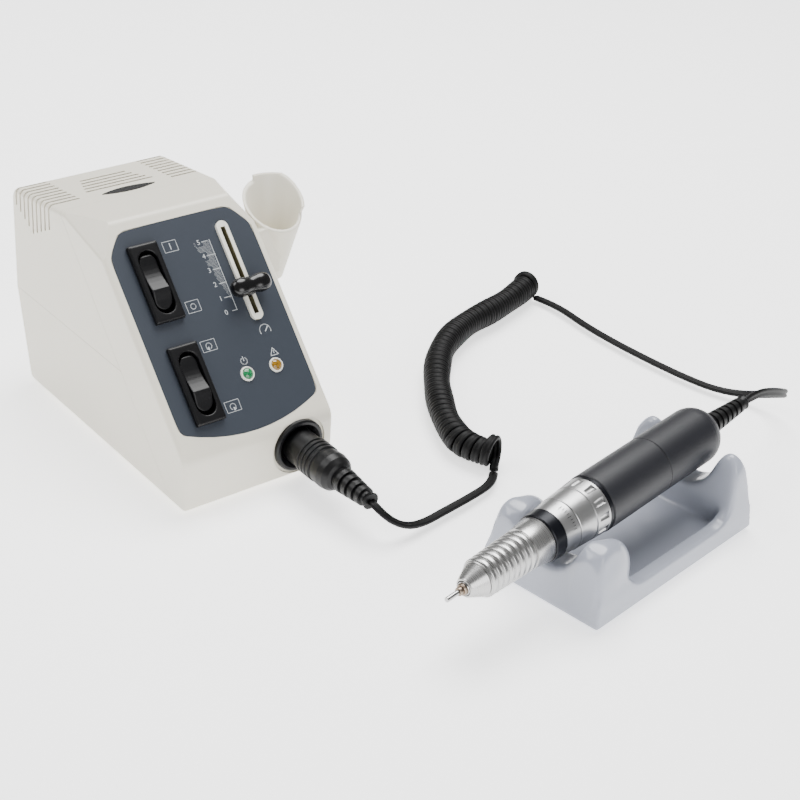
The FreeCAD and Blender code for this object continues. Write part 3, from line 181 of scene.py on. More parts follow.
# %% Curl
TURN_PITCH = 4.55 * MM
CURL_RADIUS = 6.2 * MM
STEPS_PER_TURN = 16
COIL_MARGIN = 3.4 * MM
FIRST_TURN_WIDER, LAST_TURN_WIDER = 1.2, 2.1
TURN_WOBBLE, WOBBLE_RATE = 0.25, 37.0


def length_of(line):
    return sum((b - a).length for a, b in zip(line, line[1:]))


def at_length(line, wanted):
    """The point of a line at a length along it, and the line's direction there."""
    for a, b in zip(line, line[1:]):
        step = (b - a).length
        if wanted <= step:
            return a.lerp(b, wanted / step), (b - a).normalized()
        wanted -= step
    return line[-1], (line[-1] - line[-2]).normalized()


def curl_points(line):
    """Left-handed turns round a line, the first and last a little wider, as wound ends spring open."""
    wound = length_of(line) - COIL_MARGIN * 2
    turns = round(wound / TURN_PITCH)
    count = turns * STEPS_PER_TURN
    points = []
    for index in range(count + 1):
        share = index / count
        centre, along = at_length(line, COIL_MARGIN + wound * share)
        side = along.cross(Vector((0, 0, 1))).normalized()
        angle = math.tau * turns * share
        ends = max(0.0, 1 - min(index, count - index) / (STEPS_PER_TURN * 1.3))
        wide = LAST_TURN_WIDER if index > count / 2 else FIRST_TURN_WIDER
        radius = CURL_RADIUS + (TURN_WOBBLE * math.sin(share * WOBBLE_RATE) + wide * ends) * MM
        lift = Vector((0, 0, wide * 0.95 * ends * MM))
        spoke = side * math.sin(angle) - Vector((0, 0, 1)) * math.cos(angle)
        points.append(centre + lift + spoke * radius)
    return points


coil_line = smooth_line(coil_route)
curl = curl_points(coil_line)
lead_line = smooth_line(handpiece_route + curl + plug_route, resolution=4)
print("coil", round(length_of(coil_line), 3), "m along its middle")
print("whole lead", round(length_of(lead_line), 3), "m")

# %% [markdown]
# ## Sweep of the flat twin
# The two sheaths touch along one line, so the outline is a figure of eight. A curve's own bevel can
# carry such an outline, but it turns it as the curve twists. Sweeping it in code lets us say which
# way the wide side faces: flat on the table, on edge where the lead hangs, and along the coil's
# middle line in the curl, where each turn lies against the last.

# %% Sweep of the flat twin lead
SHEATH = 1.22 * MM
SHEATH_OFFSET = 1.12 * MM
ARC_STEPS = 7
IN_COIL, IN_COIL_ANGLE = CURL_RADIUS * 1.35, 0.6
ON_EDGE_FROM, ON_EDGE_OVER = 4.0, 10.0
EASE_REACH = 5


def twin_outline():
    """Two touching sheaths: points of (along the width, along the thickness)."""
    waist = math.acos(SHEATH_OFFSET / SHEATH) + math.radians(14)
    points = []
    for side in (1, -1):
        for index in range(ARC_STEPS + 1):
            angle = -math.pi + waist + (math.tau - 2 * waist) * index / ARC_STEPS
            points.append((side * (SHEATH_OFFSET + SHEATH * math.cos(angle)),
                           side * SHEATH * math.sin(angle)))
    return points


def sweep(name, line, outline, width_directions):
    """A closed skin that follows a line, its width turned to a wanted direction at every point."""
    mesh = bmesh.new()
    rings = []
    for index, point in enumerate(line):
        along = (line[min(index + 1, len(line) - 1)] - line[max(index - 1, 0)]).normalized()
        width = width_directions[index] - along * width_directions[index].dot(along)
        width.normalize()
        thick = along.cross(width)
        rings.append([mesh.verts.new(point + width * a + thick * b) for a, b in outline])
    for here, there in zip(rings, rings[1:]):
        for index in range(len(outline)):
            nearby = (index + 1) % len(outline)
            mesh.faces.new((here[index], here[nearby], there[nearby], there[index]))
    mesh.faces.new(rings[0][::-1])
    mesh.faces.new(rings[-1])
    bmesh.ops.recalc_face_normals(mesh, faces=mesh.faces)
    data = bpy.data.meshes.new(name)
    mesh.to_mesh(data)
    mesh.free()
    data.shade_smooth()
    return link(name, data)


def width_directions(line):
    """Flat on the table, on edge where it hangs, and along the middle line in the coil."""
    tree = KDTree(len(coil_line))
    for index, point in enumerate(coil_line):
        tree.insert(point, index)
    tree.balance()
    wanted = []
    for index, point in enumerate(line):
        along = (line[min(index + 1, len(line) - 1)] - line[max(index - 1, 0)]).normalized()
        _, nearest, far = tree.find(point)
        ahead = coil_line[min(nearest + 1, len(coil_line) - 1)] - coil_line[max(nearest - 1, 0)]
        if far < IN_COIL and abs(along.dot(ahead.normalized())) < IN_COIL_ANGLE:
            wanted.append(ahead.normalized())
        else:
            lifted = max(0.0, point.z / MM - ON_EDGE_FROM) / ON_EDGE_OVER
            upright = min(1.0, lifted) if index < len(line) / 2 else 0.0
            level = along.cross(Vector((0, 0, 1))).normalized()
            wanted.append((level * (1 - upright) + Vector((0, 0, 1)) * upright).normalized())
    eased = []
    for index in range(len(wanted)):
        total = Vector((0, 0, 0))
        for other in range(max(0, index - EASE_REACH), min(len(wanted), index + EASE_REACH + 1)):
            sign = 1 if wanted[other].dot(wanted[index]) >= 0 else -1
            total += wanted[other] * sign
        eased.append(total.normalized())
    return eased


curly_lead = sweep("curly_lead", lead_line, twin_outline(), width_directions(lead_line))
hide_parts("lead_handpiece_end", "lead_coil", "lead_plug_end")
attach(curly_lead, "housing")

# %% [markdown]
# ## Shader tools
# Two small classes keep the materials readable. `Value` wraps a socket, so shader arithmetic is
# written with + - * /. `Paint` owns one material: constants are set on the shader's own sockets, and
# only what varies over the surface is linked.

# %% Value and Paint
class Value:
    """A number on its way through a shader, with the usual arithmetic."""

    def __init__(self, paint, socket):
        self.paint, self.socket = paint, socket

    def combine(self, operation, first, second):
        return self.paint.node("ShaderNodeMath", {"operation": operation}, {0: first, 1: second})

    def __add__(self, other):
        return self.combine("ADD", self, other)

    def __radd__(self, other):
        return self.combine("ADD", other, self)

    def __sub__(self, other):
        return self.combine("SUBTRACT", self, other)

    def __rsub__(self, other):
        return self.combine("SUBTRACT", other, self)

    def __mul__(self, other):
        return self.combine("MULTIPLY", self, other)

    def __rmul__(self, other):
        return self.combine("MULTIPLY", other, self)

    def __truediv__(self, other):
        return self.combine("DIVIDE", self, other)

    def __rtruediv__(self, other):
        return self.combine("DIVIDE", other, self)


class Paint:
    """A material with one Principled shader."""

    def __init__(self, name, color, **constants):
        self.material = bpy.data.materials.new(name)
        self.material.use_nodes = True
        self.tree = self.material.node_tree
        self.shader = self.tree.nodes["Principled BSDF"]
        self.color = (*color, 1.0)
        self.material.diffuse_color = self.color
        self.shader.inputs["Base Color"].default_value = self.color
        for key, value in constants.items():
            self.shader.inputs[key.replace("_", " ").title().replace("Ior", "IOR")].default_value = value
        self.place = self.node("ShaderNodeTexCoord", output="Object")

    def node(self, kind, settings=(), inputs=(), output=0, stops=()):
        """Any node: its settings first, colour ramp stops included, then its socket values and links."""
        made = self.tree.nodes.new(kind)
        for key, value in dict(settings).items():
            setattr(made, key, value)
        for index, (position, color) in enumerate(stops):
            ramp = made.color_ramp.elements
            stop = ramp[index] if index < len(ramp) else ramp.new(position)
            stop.position, stop.color = position, color
        for key, value in dict(inputs).items():
            self.feed(made.inputs[key], value)
        return Value(self, made.outputs[output])

    def feed(self, socket, value):
        if isinstance(socket, str):
            socket = self.shader.inputs[socket]
        if isinstance(value, Value):
            self.tree.links.new(value.socket, socket)
        else:
            socket.default_value = value

    def noise(self, scale, detail=2.0, place=None):
        return self.node("ShaderNodeTexNoise", {}, {"Vector": place or self.place, "Scale": scale,
                                                   "Detail": detail})

    def steps(self, value, low, high):
        """A share that goes from 0 at low to 1 at high."""
        return self.node("ShaderNodeMapRange", {}, {0: value, 1: low, 2: high, 3: 0.0, 4: 1.0})

    def mix(self, factor, first, second):
        return self.node("ShaderNodeMix", {"data_type": "RGBA"}, {0: factor, 6: first, 7: second}, output=2)

    def bump(self, height, strength, distance):
        self.feed("Normal", self.node("ShaderNodeBump", {}, {"Strength": strength, "Distance": distance,
                                                            "Height": height}))
        return self

    def spread(self, value, low, high):
        """Roughness that follows a share between two values."""
        self.feed("Roughness", value * (high - low) + low)
        return self

    def tint(self, factor, other):
        self.feed("Base Color", self.mix(factor, self.color, (*other, 1.0)))
        return self


def linear(red, green, blue):
    """A display colour, 0 to 255, as the light it stands for."""
    return tuple((part / 255) ** 2.2 for part in (red, green, blue))


print("shader tools ready")

# %% [markdown]
# ## Plastics
# The casing, the cradle, the film and the keys are moulded or printed plastic, and no moulding is
# quite even: it has a fine grain from the tool and a slow change of shade. Two noises, one fine and
# one slow, give both. They need no image and no unwrapping, so they stay the same at any size.

# %% Plastics
def moulded(name, color, rough, grain_scale, grain_depth, **constants):
    paint = Paint(name, color, **constants)
    fine = paint.noise(grain_scale, 3.0)
    slow = paint.noise(18.0, 1.0)
    darker = tuple(part * 0.9 for part in color)
    paint.tint(slow * 0.7 + fine * 0.3, darker)
    paint.spread(fine * 0.5 + slow * 0.5, rough - 0.06, rough + 0.08)
    return paint.bump(fine, 0.35, grain_depth)


FINISHES = {
    "casing_plastic": moulded("casing_plastic", linear(232, 227, 211), 0.34, 2600.0, 0.00004),
    "cradle_plastic": moulded("cradle_plastic", linear(158, 162, 174), 0.22, 1800.0, 0.00002,
                              coat_weight=0.25),
    "overlay_film": moulded("overlay_film", linear(54, 59, 67), 0.34, 5200.0, 0.00003),
    "badge_film": moulded("badge_film", linear(20, 20, 21), 0.22, 3000.0, 0.00001, coat_weight=0.5),
    "black_gloss_plastic": moulded("black_gloss_plastic", linear(16, 16, 18), 0.36, 2400.0, 0.00001,
                                   specular_ior_level=0.3),
    "black_rubber": moulded("black_rubber", linear(14, 14, 15), 0.4, 2200.0, 0.00004,
                            specular_ior_level=0.3),
    "lead_sheath": moulded("lead_sheath", linear(8, 8, 9), 0.52, 1500.0, 0.00003,
                           specular_ior_level=0.2),
    "soft_touch_grip": moulded("soft_touch_grip", linear(24, 25, 31), 0.46, 3600.0, 0.00004),
    "component_plastic": moulded("component_plastic", linear(30, 31, 34), 0.4, 1500.0, 0.00003),
    "board_laminate": moulded("board_laminate", linear(24, 92, 56), 0.35, 700.0, 0.00002),
}
print(len(FINISHES), "plastics")

# %% [markdown]
# ## Metals and lenses
# The nose and sleeves come off a lathe, whose tool leaves rings round the axis. A one-dimensional
# noise read along that axis gives the rings for nothing, where an image would need unwrapping. The
# lamps' lenses are moulded with small cells that break up the light, which a Voronoi texture draws.

# %% Metals and lenses
def metal(name, color, rough, scale, depth):
    paint = Paint(name, color, metallic=1.0)
    cloud = paint.noise(scale, 3.0)
    paint.tint(cloud, tuple(part * 0.82 for part in color))
    paint.spread(cloud, rough, rough + 0.14)
    return paint.bump(cloud, 0.25, depth)


def turned(name, color, rough, ring_scale, metallic=1.0, depth=0.00002):
    """Metal from a lathe: fine rings round the handpiece's axis."""
    paint = Paint(name, color, metallic=metallic)
    station = paint.node("ShaderNodeVectorMath", {"operation": "DOT_PRODUCT"}, {0: paint.place, 1: AXIS[:]},
                         output="Value")
    rings = paint.node("ShaderNodeTexNoise", {"noise_dimensions": "1D"}, {"W": station, "Scale": ring_scale,
                                                                         "Detail": 4.0})
    smear = paint.noise(90.0, 2.0)
    paint.tint(rings * 0.5 + smear * 0.3, tuple(part * 0.8 for part in color))
    paint.spread(rings * 0.7 + smear * 0.3, rough, rough + 0.16)
    return paint.bump(rings, 0.3, depth)


def lens(name, color, glow):
    """A moulded lens: small cells that catch the light, a little light of its own."""
    paint = Paint(name, color, roughness=0.12, coat_weight=0.6, emission_strength=0.12)
    cells = paint.node("ShaderNodeTexVoronoi", {}, {"Vector": paint.place, "Scale": 900.0})
    share = paint.steps(cells, 0.0, 0.7)
    paint.tint(share, tuple(part * 0.45 for part in color))
    paint.feed("Emission Color", paint.mix(share, (*glow, 1.0), (*color, 1.0)))
    return paint.bump(cells, 0.8, 0.0003)


STEEL = (0.50, 0.497, 0.49)
FINISHES.update({
    "polished_steel": metal("polished_steel", STEEL, 0.16, 700.0, 0.00001),
    "motor_steel": metal("motor_steel", (0.42, 0.42, 0.43), 0.34, 500.0, 0.00002),
    "copper": metal("copper", (0.72, 0.33, 0.17), 0.28, 2600.0, 0.00008),
    "heat_sink_aluminium": metal("heat_sink_aluminium", (0.62, 0.63, 0.65), 0.38, 1400.0, 0.00002),
    "black_anodised": turned("black_anodised", linear(18, 20, 27), 0.24, 3000.0, metallic=0.55),
    "green_lens": lens("green_lens", linear(24, 128, 74), linear(120, 230, 160)),
    "amber_lens": lens("amber_lens", linear(150, 108, 12), linear(220, 180, 70)),
})
turned_steel = turned("turned_steel", STEEL, 0.13, 5200.0)
mirror_steel = turned("mirror_steel", STEEL, 0.2, 2200.0, depth=0.000004)
ring_steel = turned("ring_steel", (0.50, 0.50, 0.50), 0.24, 4200.0)
jaw_bronze = turned("jaw_bronze", (0.30, 0.24, 0.19), 0.24, 3000.0)
lamp_ring = moulded("lamp_ring", linear(238, 236, 226), 0.3, 2600.0, 0.00001)
OWN_FINISH = {"nose_sleeve": mirror_steel, "chuck_ring": ring_steel, "index_sleeve": ring_steel,
              "spindle": turned_steel, "collet": jaw_bronze, "mandrel_pin": turned_steel,
              "power_lamp_ring": lamp_ring, "overload_lamp_ring": lamp_ring,
              "drive_coupling": turned_steel}
print(len(FINISHES), "finishes by slot,", len(OWN_FINISH), "nodes with a finish of their own")

# %% [markdown]
# ## The slider's frame
# An ivory rim stands round a slot, and the inside of the slot lies in shade, which is painted here
# as a dark olive colour below the rim's top. The node is one solid, so two finishes on it would mean
# picking faces. Measuring in the shader how far a point lies from the slot's middle and below the
# rim's top tells the ivory rim from the painted shade, with a soft line between them.

# %% Slot shading
SLOT_EDGE, SLOT_RIM = 1.36 * MM, 1.5 * MM
DARK_BELOW, LIGHT_ABOVE = -0.5 * MM, -0.25 * MM
frame_ivory = moulded("frame_ivory", linear(232, 230, 218), 0.3, 2600.0, 0.00001)
from_origin = [vertex.co - panel_origin for vertex in NODES["slider_frame"].data.vertices]
slot_low = min(place.dot(ACROSS) for place in from_origin)
slot_high = max(place.dot(ACROSS) for place in from_origin)
frame_height = max(place.dot(OUTWARD) for place in from_origin)


def over(paint, direction, base):
    """How far a point lies along a direction, from a base, in metres."""
    length = paint.node("ShaderNodeVectorMath", {"operation": "DOT_PRODUCT"},
                        {0: paint.place, 1: direction[:]}, output="Value")
    return length - base


slot_off = over(frame_ivory, ACROSS, panel_origin.dot(ACROSS) + (slot_low + slot_high) / 2)
slot_side = frame_ivory.node("ShaderNodeMath", {"operation": "ABSOLUTE"}, {0: slot_off})
# Painted shade: a mask across the slot and a mask below the rim's top pick where the colour darkens.
slot_shade_across = 1.0 - frame_ivory.steps(slot_side, SLOT_EDGE, SLOT_RIM)
over_top = over(frame_ivory, OUTWARD, panel_origin.dot(OUTWARD) + frame_height)
slot_shade_depth = 1.0 - frame_ivory.steps(over_top, DARK_BELOW, LIGHT_ABOVE)
# Painted shade: inside the slot and below the rim's top the ivory is mixed towards a dark olive.
frame_ivory.tint(slot_shade_across * slot_shade_depth, linear(122, 116, 90))
OWN_FINISH["slider_frame"] = frame_ivory
print("slot from", round(slot_low / MM, 2), "to", round(slot_high / MM, 2), "mm across the panel")

# %% [markdown]
# ## A finish on every node
# Each node names its material slot in the record, and a few pieces have a finish of their own. The
# finish goes into the object's material slots, so the mesh from the CAD stays as it is.

# %% Dress the nodes
def dress(obj, paint):
    obj.data.materials.clear()
    obj.data.materials.append(paint.material)
    return obj


for name, obj in NODES.items():
    paint = OWN_FINISH.get(name, FINISHES[SLOT_OF[name]])
    for index in range(len(obj.data.materials)):
        obj.data.materials[index] = paint.material
dress(curly_lead, FINISHES["lead_sheath"])
print(len(NODES), "nodes and the lead have a finish")

# %% [markdown]
# ## Softer shapes from the CAD
# A mould never leaves the sharp creases of a simple solid. A Bevel modifier rounds edges, but it
# fails where many short ones meet, as they do on a solid cut by others. So a copy of the node is
# remeshed into small even squares and relaxed: its edges round off by about a square for every few
# passes, and the copy stands in for the node.

# %% Soft copies
def soft_copy(name, node, cell, passes, ride_on=None, lumps=()):
    """An even, relaxed copy of a node's mesh that replaces the node; lumps are matrices of balls to merge."""
    made = link(name, NODES[node].data.copy())
    mesh = bmesh.new()
    mesh.from_mesh(made.data)
    for lump in lumps:
        bmesh.ops.create_uvsphere(mesh, u_segments=48, v_segments=32, radius=1.0, matrix=lump)
    mesh.to_mesh(made.data)
    mesh.free()
    remesh = made.modifiers.new("even", "REMESH")
    remesh.mode, remesh.voxel_size, remesh.use_smooth_shade = "VOXEL", cell, True
    relax = made.modifiers.new("relax", "SMOOTH")
    relax.factor, relax.iterations = 0.5, passes
    bpy.context.view_layer.update()
    even = bpy.data.meshes.new_from_object(made.evaluated_get(bpy.context.evaluated_depsgraph_get()))
    made.modifiers.clear()
    made.data = even
    even.name = name
    even.shade_smooth()
    dress(made, OWN_FINISH.get(node, FINISHES[SLOT_OF[node]]))
    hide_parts(node)
    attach(made, ride_on or "housing")
    print(name, len(even.polygons), "faces")
    return made


print("cells of 0.28 to 0.7 mm, for keys up to the cradle")

# %% [markdown]
# ## The cradle
# The real cradle is one thick moulding with two soft lobes that the nose lies between. Balls
# stretched to the lobes' size are merged with the copy before it is remeshed, so they join without a
# seam. A plane end is kept in front, and the upper parts, the horns, are relaxed further than the
# rest by a weight that grows with height.

# %% Cradle
flat_axis = Vector((AXIS.x, AXIS.y, 0)).normalized()
ALONG = axes_matrix(flat_axis, Vector((0, 0, 1)).cross(flat_axis), Vector((0, 0, 0)))
inverse = ALONG.inverted()
places = [inverse @ vertex.co for vertex in NODES["handpiece_cradle"].data.vertices]
cradle_start = min(place.x for place in places)
cradle_middle = (min(place.y for place in places) + max(place.y for place in places)) / 2
LOBE_ALONG, LOBE_ACROSS, LOBE_HIGH = 13.4 * MM, 23.0 * MM, 17.5 * MM
LOBE_SIZE = (18.6 * MM, 9.2 * MM, 19.0 * MM)
FRONT_LEAN = 0.06
HORNS_FROM, HORNS_OVER = 12 * MM, 6 * MM
lobes = []
for side in (-1, 1):
    spot = Vector((cradle_start + LOBE_ALONG, cradle_middle + side * LOBE_ACROSS, LOBE_HIGH))
    lobes.append(ALONG @ Matrix.Translation(spot) @ Matrix.Diagonal((*LOBE_SIZE, 1)))
cradle = soft_copy("cradle", "handpiece_cradle", 0.7 * MM, 3, lumps=lobes)
for vertex in cradle.data.vertices:
    place = inverse @ vertex.co
    from_middle = (place.x - cradle_start - LOBE_ALONG) / LOBE_SIZE[0]
    if from_middle < 0:
        crown = LOBE_HIGH + LOBE_SIZE[2] * math.sqrt(max(0.0, 1 - from_middle ** 2))
        place.z = min(place.z, crown)
        place.x = max(place.x, cradle_start + FRONT_LEAN * place.z)
        vertex.co = ALONG @ place
horns = cradle.vertex_groups.new(name="horns")
for vertex in cradle.data.vertices:
    share = min(1.0, max(0.0, (vertex.co.z - HORNS_FROM) / HORNS_OVER))
    horns.add([vertex.index], share, "REPLACE")
for passes, group in ((14, ""), (70, "horns")):
    ease = cradle.modifiers.new("ease", "SMOOTH")
    ease.factor, ease.iterations, ease.vertex_group = 0.5, passes, group
print("cradle starts", round(cradle_start, 4), "m along the handpiece")

# %% [markdown]
# ## Holder, switch bezels and keys
# These small mouldings need the same rounding, with smaller cells, so that a key's edge stays
# crisp. Each key rides on its rocker, so it tilts with it, and the bezels stay with the housing.

# %% Holder, bezels and keys
holder = soft_copy("holder", "side_holder", 0.45 * MM, 6)
power_key = soft_copy("power_key", "power_rocker", 0.28 * MM, 8, "power_rocker")
power_bezel = soft_copy("power_bezel", "power_switch", 0.3 * MM, 16)
direction_bezel = soft_copy("direction_bezel", "direction_switch", 0.3 * MM, 16)
direction_key = soft_copy("direction_key", "direction_rocker", 0.28 * MM, 8, "direction_rocker")

# %% [markdown]
# ## Turned nose
# The steel nose is a profile spun round the axis: a cone, eight smooth waves for the fingers, and a
# plain taper. A Screw modifier would spin it too, but building the rings here puts them straight on
# the handpiece's axis. A cosine gives the waves; a power of it keeps crests broad, valleys narrow.

# %% Turned parts
TURN_STEPS = 112


def lathe(name, profile, paint, node, steps=TURN_STEPS, frame_of=HANDPIECE):
    """A closed profile of (station, radius) in millimetres, spun round the frame's X axis."""
    mesh = bmesh.new()
    rings = []
    for step in range(steps):
        angle = math.tau * step / steps
        turn = Vector((0, math.cos(angle), math.sin(angle)))
        rings.append([mesh.verts.new(frame_of @ (Vector((station * MM, 0, 0)) + turn * radius * MM))
                      for station, radius in profile])
    for step in range(steps):
        here, there = rings[step], rings[(step + 1) % steps]
        for index in range(len(profile)):
            after = (index + 1) % len(profile)
            mesh.faces.new((here[index], here[after], there[after], there[index]))
    bmesh.ops.recalc_face_normals(mesh, faces=mesh.faces)
    data = bpy.data.meshes.new(name)
    mesh.to_mesh(data)
    mesh.free()
    data.shade_smooth()
    made = dress(link(name, data), paint)
    sharp = made.modifiers.new("edges", "EDGE_SPLIT")
    sharp.split_angle = math.radians(34)
    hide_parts(node)
    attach(made, "housing")
    return made


def waves(start, end, count, radius, growth, depth, steps=14):
    """Profile of smooth ribs between two stations."""
    points = []
    for index in range(count * steps + 1):
        share = index / (count * steps)
        turn = share * count
        valley = 0.5 - 0.5 * math.cos(math.tau * turn)
        crest = 1 - (1 - valley) ** 4
        points.append((start + (end - start) * share, radius + growth * share - depth * (1 - crest)))
    return points


CONE_END, RIB_END, TAPER_END = 9.0, 37.5, 48.5
RIBS, RIB_RADIUS, RIB_GROWTH, RIB_DEPTH = 8, 9.15, 0.75, 1.15
outside = [(0.0, 3.7), (0.0, 4.0), (0.2, 4.35), (0.6, 4.6), (8.1, 8.0), (8.15, 7.7), (8.5, 7.7), (8.55, 8.2),
           (8.9, 8.5)]
outside += waves(CONE_END, RIB_END, RIBS, RIB_RADIUS, RIB_GROWTH, RIB_DEPTH)
outside += [(RIB_END + 0.3, 9.3), (RIB_END + 0.5, 9.85), (TAPER_END - 0.4, 11.0), (TAPER_END, 10.8)]
inside = [(TAPER_END, 9.0), (40.0, 9.0), (40.0, 6.5), (12.0, 6.5), (12.0, 3.45), (0.4, 3.45)]
ribbed_nose = lathe("ribbed_nose", outside + inside, mirror_steel, "nose_sleeve")
print("ribbed_nose", len(ribbed_nose.data.polygons), "faces")

# %% [markdown]
# ## Film
# The panel is covered by a printed film with round corners and a low edge that curves like a smile.
# Its outline is a smooth curve through a few control points, worked out from the node's own size.

# %% Film outline
def extent(node, frame_of):
    """The lowest and highest corner of a node, measured in a frame, in metres."""
    inverse = frame_of.inverted()
    corners = [inverse @ vertex.co for vertex in NODES[node].data.vertices]
    return [[pick(corner[axis] for corner in corners) for axis in range(3)] for pick in (min, max)]


film_low, film_high = extent("panel_overlay", PANEL)
half_film, film_top, film_bottom = film_high[0] / MM, film_high[1] / MM, film_low[1] / MM
SMILE_HIGH, SMILE_STEPS = 12.0, 10
upper_right = [(half_film - 12, film_top), (half_film - 8, film_top - 1.5), (half_film - 2, film_top - 9),
               (half_film, film_top - 13), (half_film, 60), (half_film, 16), (half_film - 1.5, SMILE_HIGH)]
smile = []
for index in range(1, SMILE_STEPS):
    share = 1 - 2 * index / SMILE_STEPS
    smile.append(((half_film - 1.5) * share, SMILE_HIGH - (SMILE_HIGH - film_bottom) * (1 - share * share)))
upper_left = [(-x, y) for x, y in reversed(upper_right)]
corners = [(0, film_top)] + upper_right + smile + upper_left + [(0, film_top)]
film_line = smooth_line([Vector((x, y, 0)) for x, y in corners])[:-1]
print("film outline", len(film_line), "points")

# %% [markdown]
# ## Windows in the film
# A real film is die-cut, so that the switches, the slider and the lamps come through. Boolean
# modifiers could cut it, but a filled 2D curve takes any closed line inside its outline as a hole,
# and gives a clean flat plate.

# %% Windows and sheet
WINDOW_INSET, SWITCH_CORNER = 0.5, 0.8


def window(node, ring_of=24):
    """The hole a round or long piece needs in the film, as a closed line."""
    low, high = extent(node, PANEL)
    across, up = (low[0] + high[0]) / 2 / MM, (low[1] + high[1]) / 2 / MM
    wide, tall = ((high[axis] - low[axis]) / 2 / MM - WINDOW_INSET for axis in (0, 1))
    round_part = SWITCH_CORNER if node.endswith("_switch") else wide
    points = []
    for index in range(ring_of):
        angle = math.tau * (index + 0.5) / ring_of
        x = math.copysign(wide - round_part, math.cos(angle)) + round_part * math.cos(angle)
        y = math.copysign(tall - round_part, math.sin(angle)) + round_part * math.sin(angle)
        points.append(Vector((across + x, up + y, 0)))
    return points


def sheet_of(name, lines, top, thick):
    """A flat plate with holes, from closed lines in millimetres, its top at a height over the panel."""
    curve = bpy.data.curves.new(name, "CURVE")
    curve.dimensions, curve.fill_mode = "2D", "BOTH"
    curve.extrude = thick / 2 * MM
    for line in lines:
        spline = curve.splines.new("POLY")
        spline.points.add(len(line) - 1)
        for target, point in zip(spline.points, line):
            target.co = (point.x * MM, point.y * MM, 0, 1)
        spline.use_cyclic_u = True
    carrier = bpy.data.objects.new(name, curve)
    data = bpy.data.meshes.new_from_object(carrier)
    bpy.data.objects.remove(carrier)
    data.name = name
    data.transform(PANEL @ Matrix.Translation((0, 0, top - thick / 2 * MM)))
    return link(name, data)


print("windows are", WINDOW_INSET, "mm inside the pieces that cover their edges")

# %% [markdown]
# ## Lamps
# Each lamp is a domed lens in a pale ring with a rounded lip. Both are round, so the lathe makes
# them as it made the nose, on an axis that stands on the panel.

# %% Lamps
LAMP_STEPS = 64


def lamp(name, lamp_node, ring_node):
    """A bright ring and a wide dome in it, both spun round the lamp's own axis."""
    low, high = extent(ring_node, PANEL)
    middle = PANEL @ Vector(((low[0] + high[0]) / 2, (low[1] + high[1]) / 2, film_high[2]))
    stand = axes_matrix(OUTWARD, ACROSS, middle)
    wide = (high[0] - low[0]) / 2 / MM
    lip = wide * 0.74
    rim = [(-1.2, wide * 0.8), (-1.2, lip + 0.05), (0.7, lip + 0.05), (0.95, lip + 0.3),
           (0.9, wide - 0.35), (0.55, wide - 0.08), (0.05, wide), (0.05, wide * 0.8)]
    ring = lathe(name + "_ring", rim, lamp_ring, ring_node, LAMP_STEPS, stand)
    dome = [(-1.0, 0.05), (-1.0, lip)]
    for index in range(9):
        turn = math.radians(90 * index / 8)
        dome.append((0.5 + 1.3 * math.sin(turn), max(0.05, lip * math.cos(turn))))
    glass = FINISHES[SLOT_OF[lamp_node]]
    return ring, lathe(name + "_dome", dome, glass, lamp_node, LAMP_STEPS, stand)


power_light = lamp("power", "power_lamp", "power_lamp_ring")
overload_light = lamp("overload", "overload_lamp", "overload_lamp_ring")
print("lamps", len(power_light) + len(overload_light), "pieces")

# %% [markdown]
# ## The film laid on
# The sheet is made at last with all its windows, its top where the node's top was. The slider's
# frame keeps its CAD mesh and gets a Bevel modifier, because its few long edges bevel cleanly.

# %% Face film
WINDOWS = ("power_switch", "direction_switch", "slider_frame", "power_lamp_ring", "overload_lamp_ring")
FILM_THICK = 0.6
face_film = sheet_of("face_film", [film_line] + [window(node) for node in WINDOWS], film_high[2], FILM_THICK)
dress(face_film, FINISHES["overlay_film"])
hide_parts("panel_overlay")
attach(face_film, "housing")
soft = NODES["slider_frame"].modifiers.new("soft edges", "BEVEL")
soft.width, soft.segments = 0.35 * MM, 3
soft.limit_method, soft.angle_limit = "ANGLE", math.radians(40)
soft.harden_normals = False
print("face_film", len(face_film.data.polygons), "faces")

# %% [markdown]
# ## Knob
# The speed knob is a glossy bar with a waist for a finger and thumb. Two merged balls would pinch
# at the join, so one outline is spun round a line across the panel, a little squarer than a circle,
# and a stem goes down from it into the slot.

# %% Knob
KNOB_CLEAR, STEM_WIDE, STEM_TALL, SQUARER = 0.25 * MM, 1.8 * MM, 8.6 * MM, 0.8
knob_low, knob_high = extent("slider_knob", PANEL)
knob_middle = [(a + b) / 2 for a, b in zip(knob_low, knob_high)]
frame_top = extent("slider_frame", PANEL)[1][2]
HALF_OUTLINE = ((1.0, 0.0), (0.985, 0.34), (0.93, 0.6), (0.82, 0.82), (0.66, 0.96), (0.5, 1.0),
                (0.34, 0.96), (0.2, 0.87), (0.08, 0.82))
KNOB_OUTLINE = (*((-along, radius) for along, radius in HALF_OUTLINE), (0.0, 0.8), *HALF_OUTLINE[::-1])


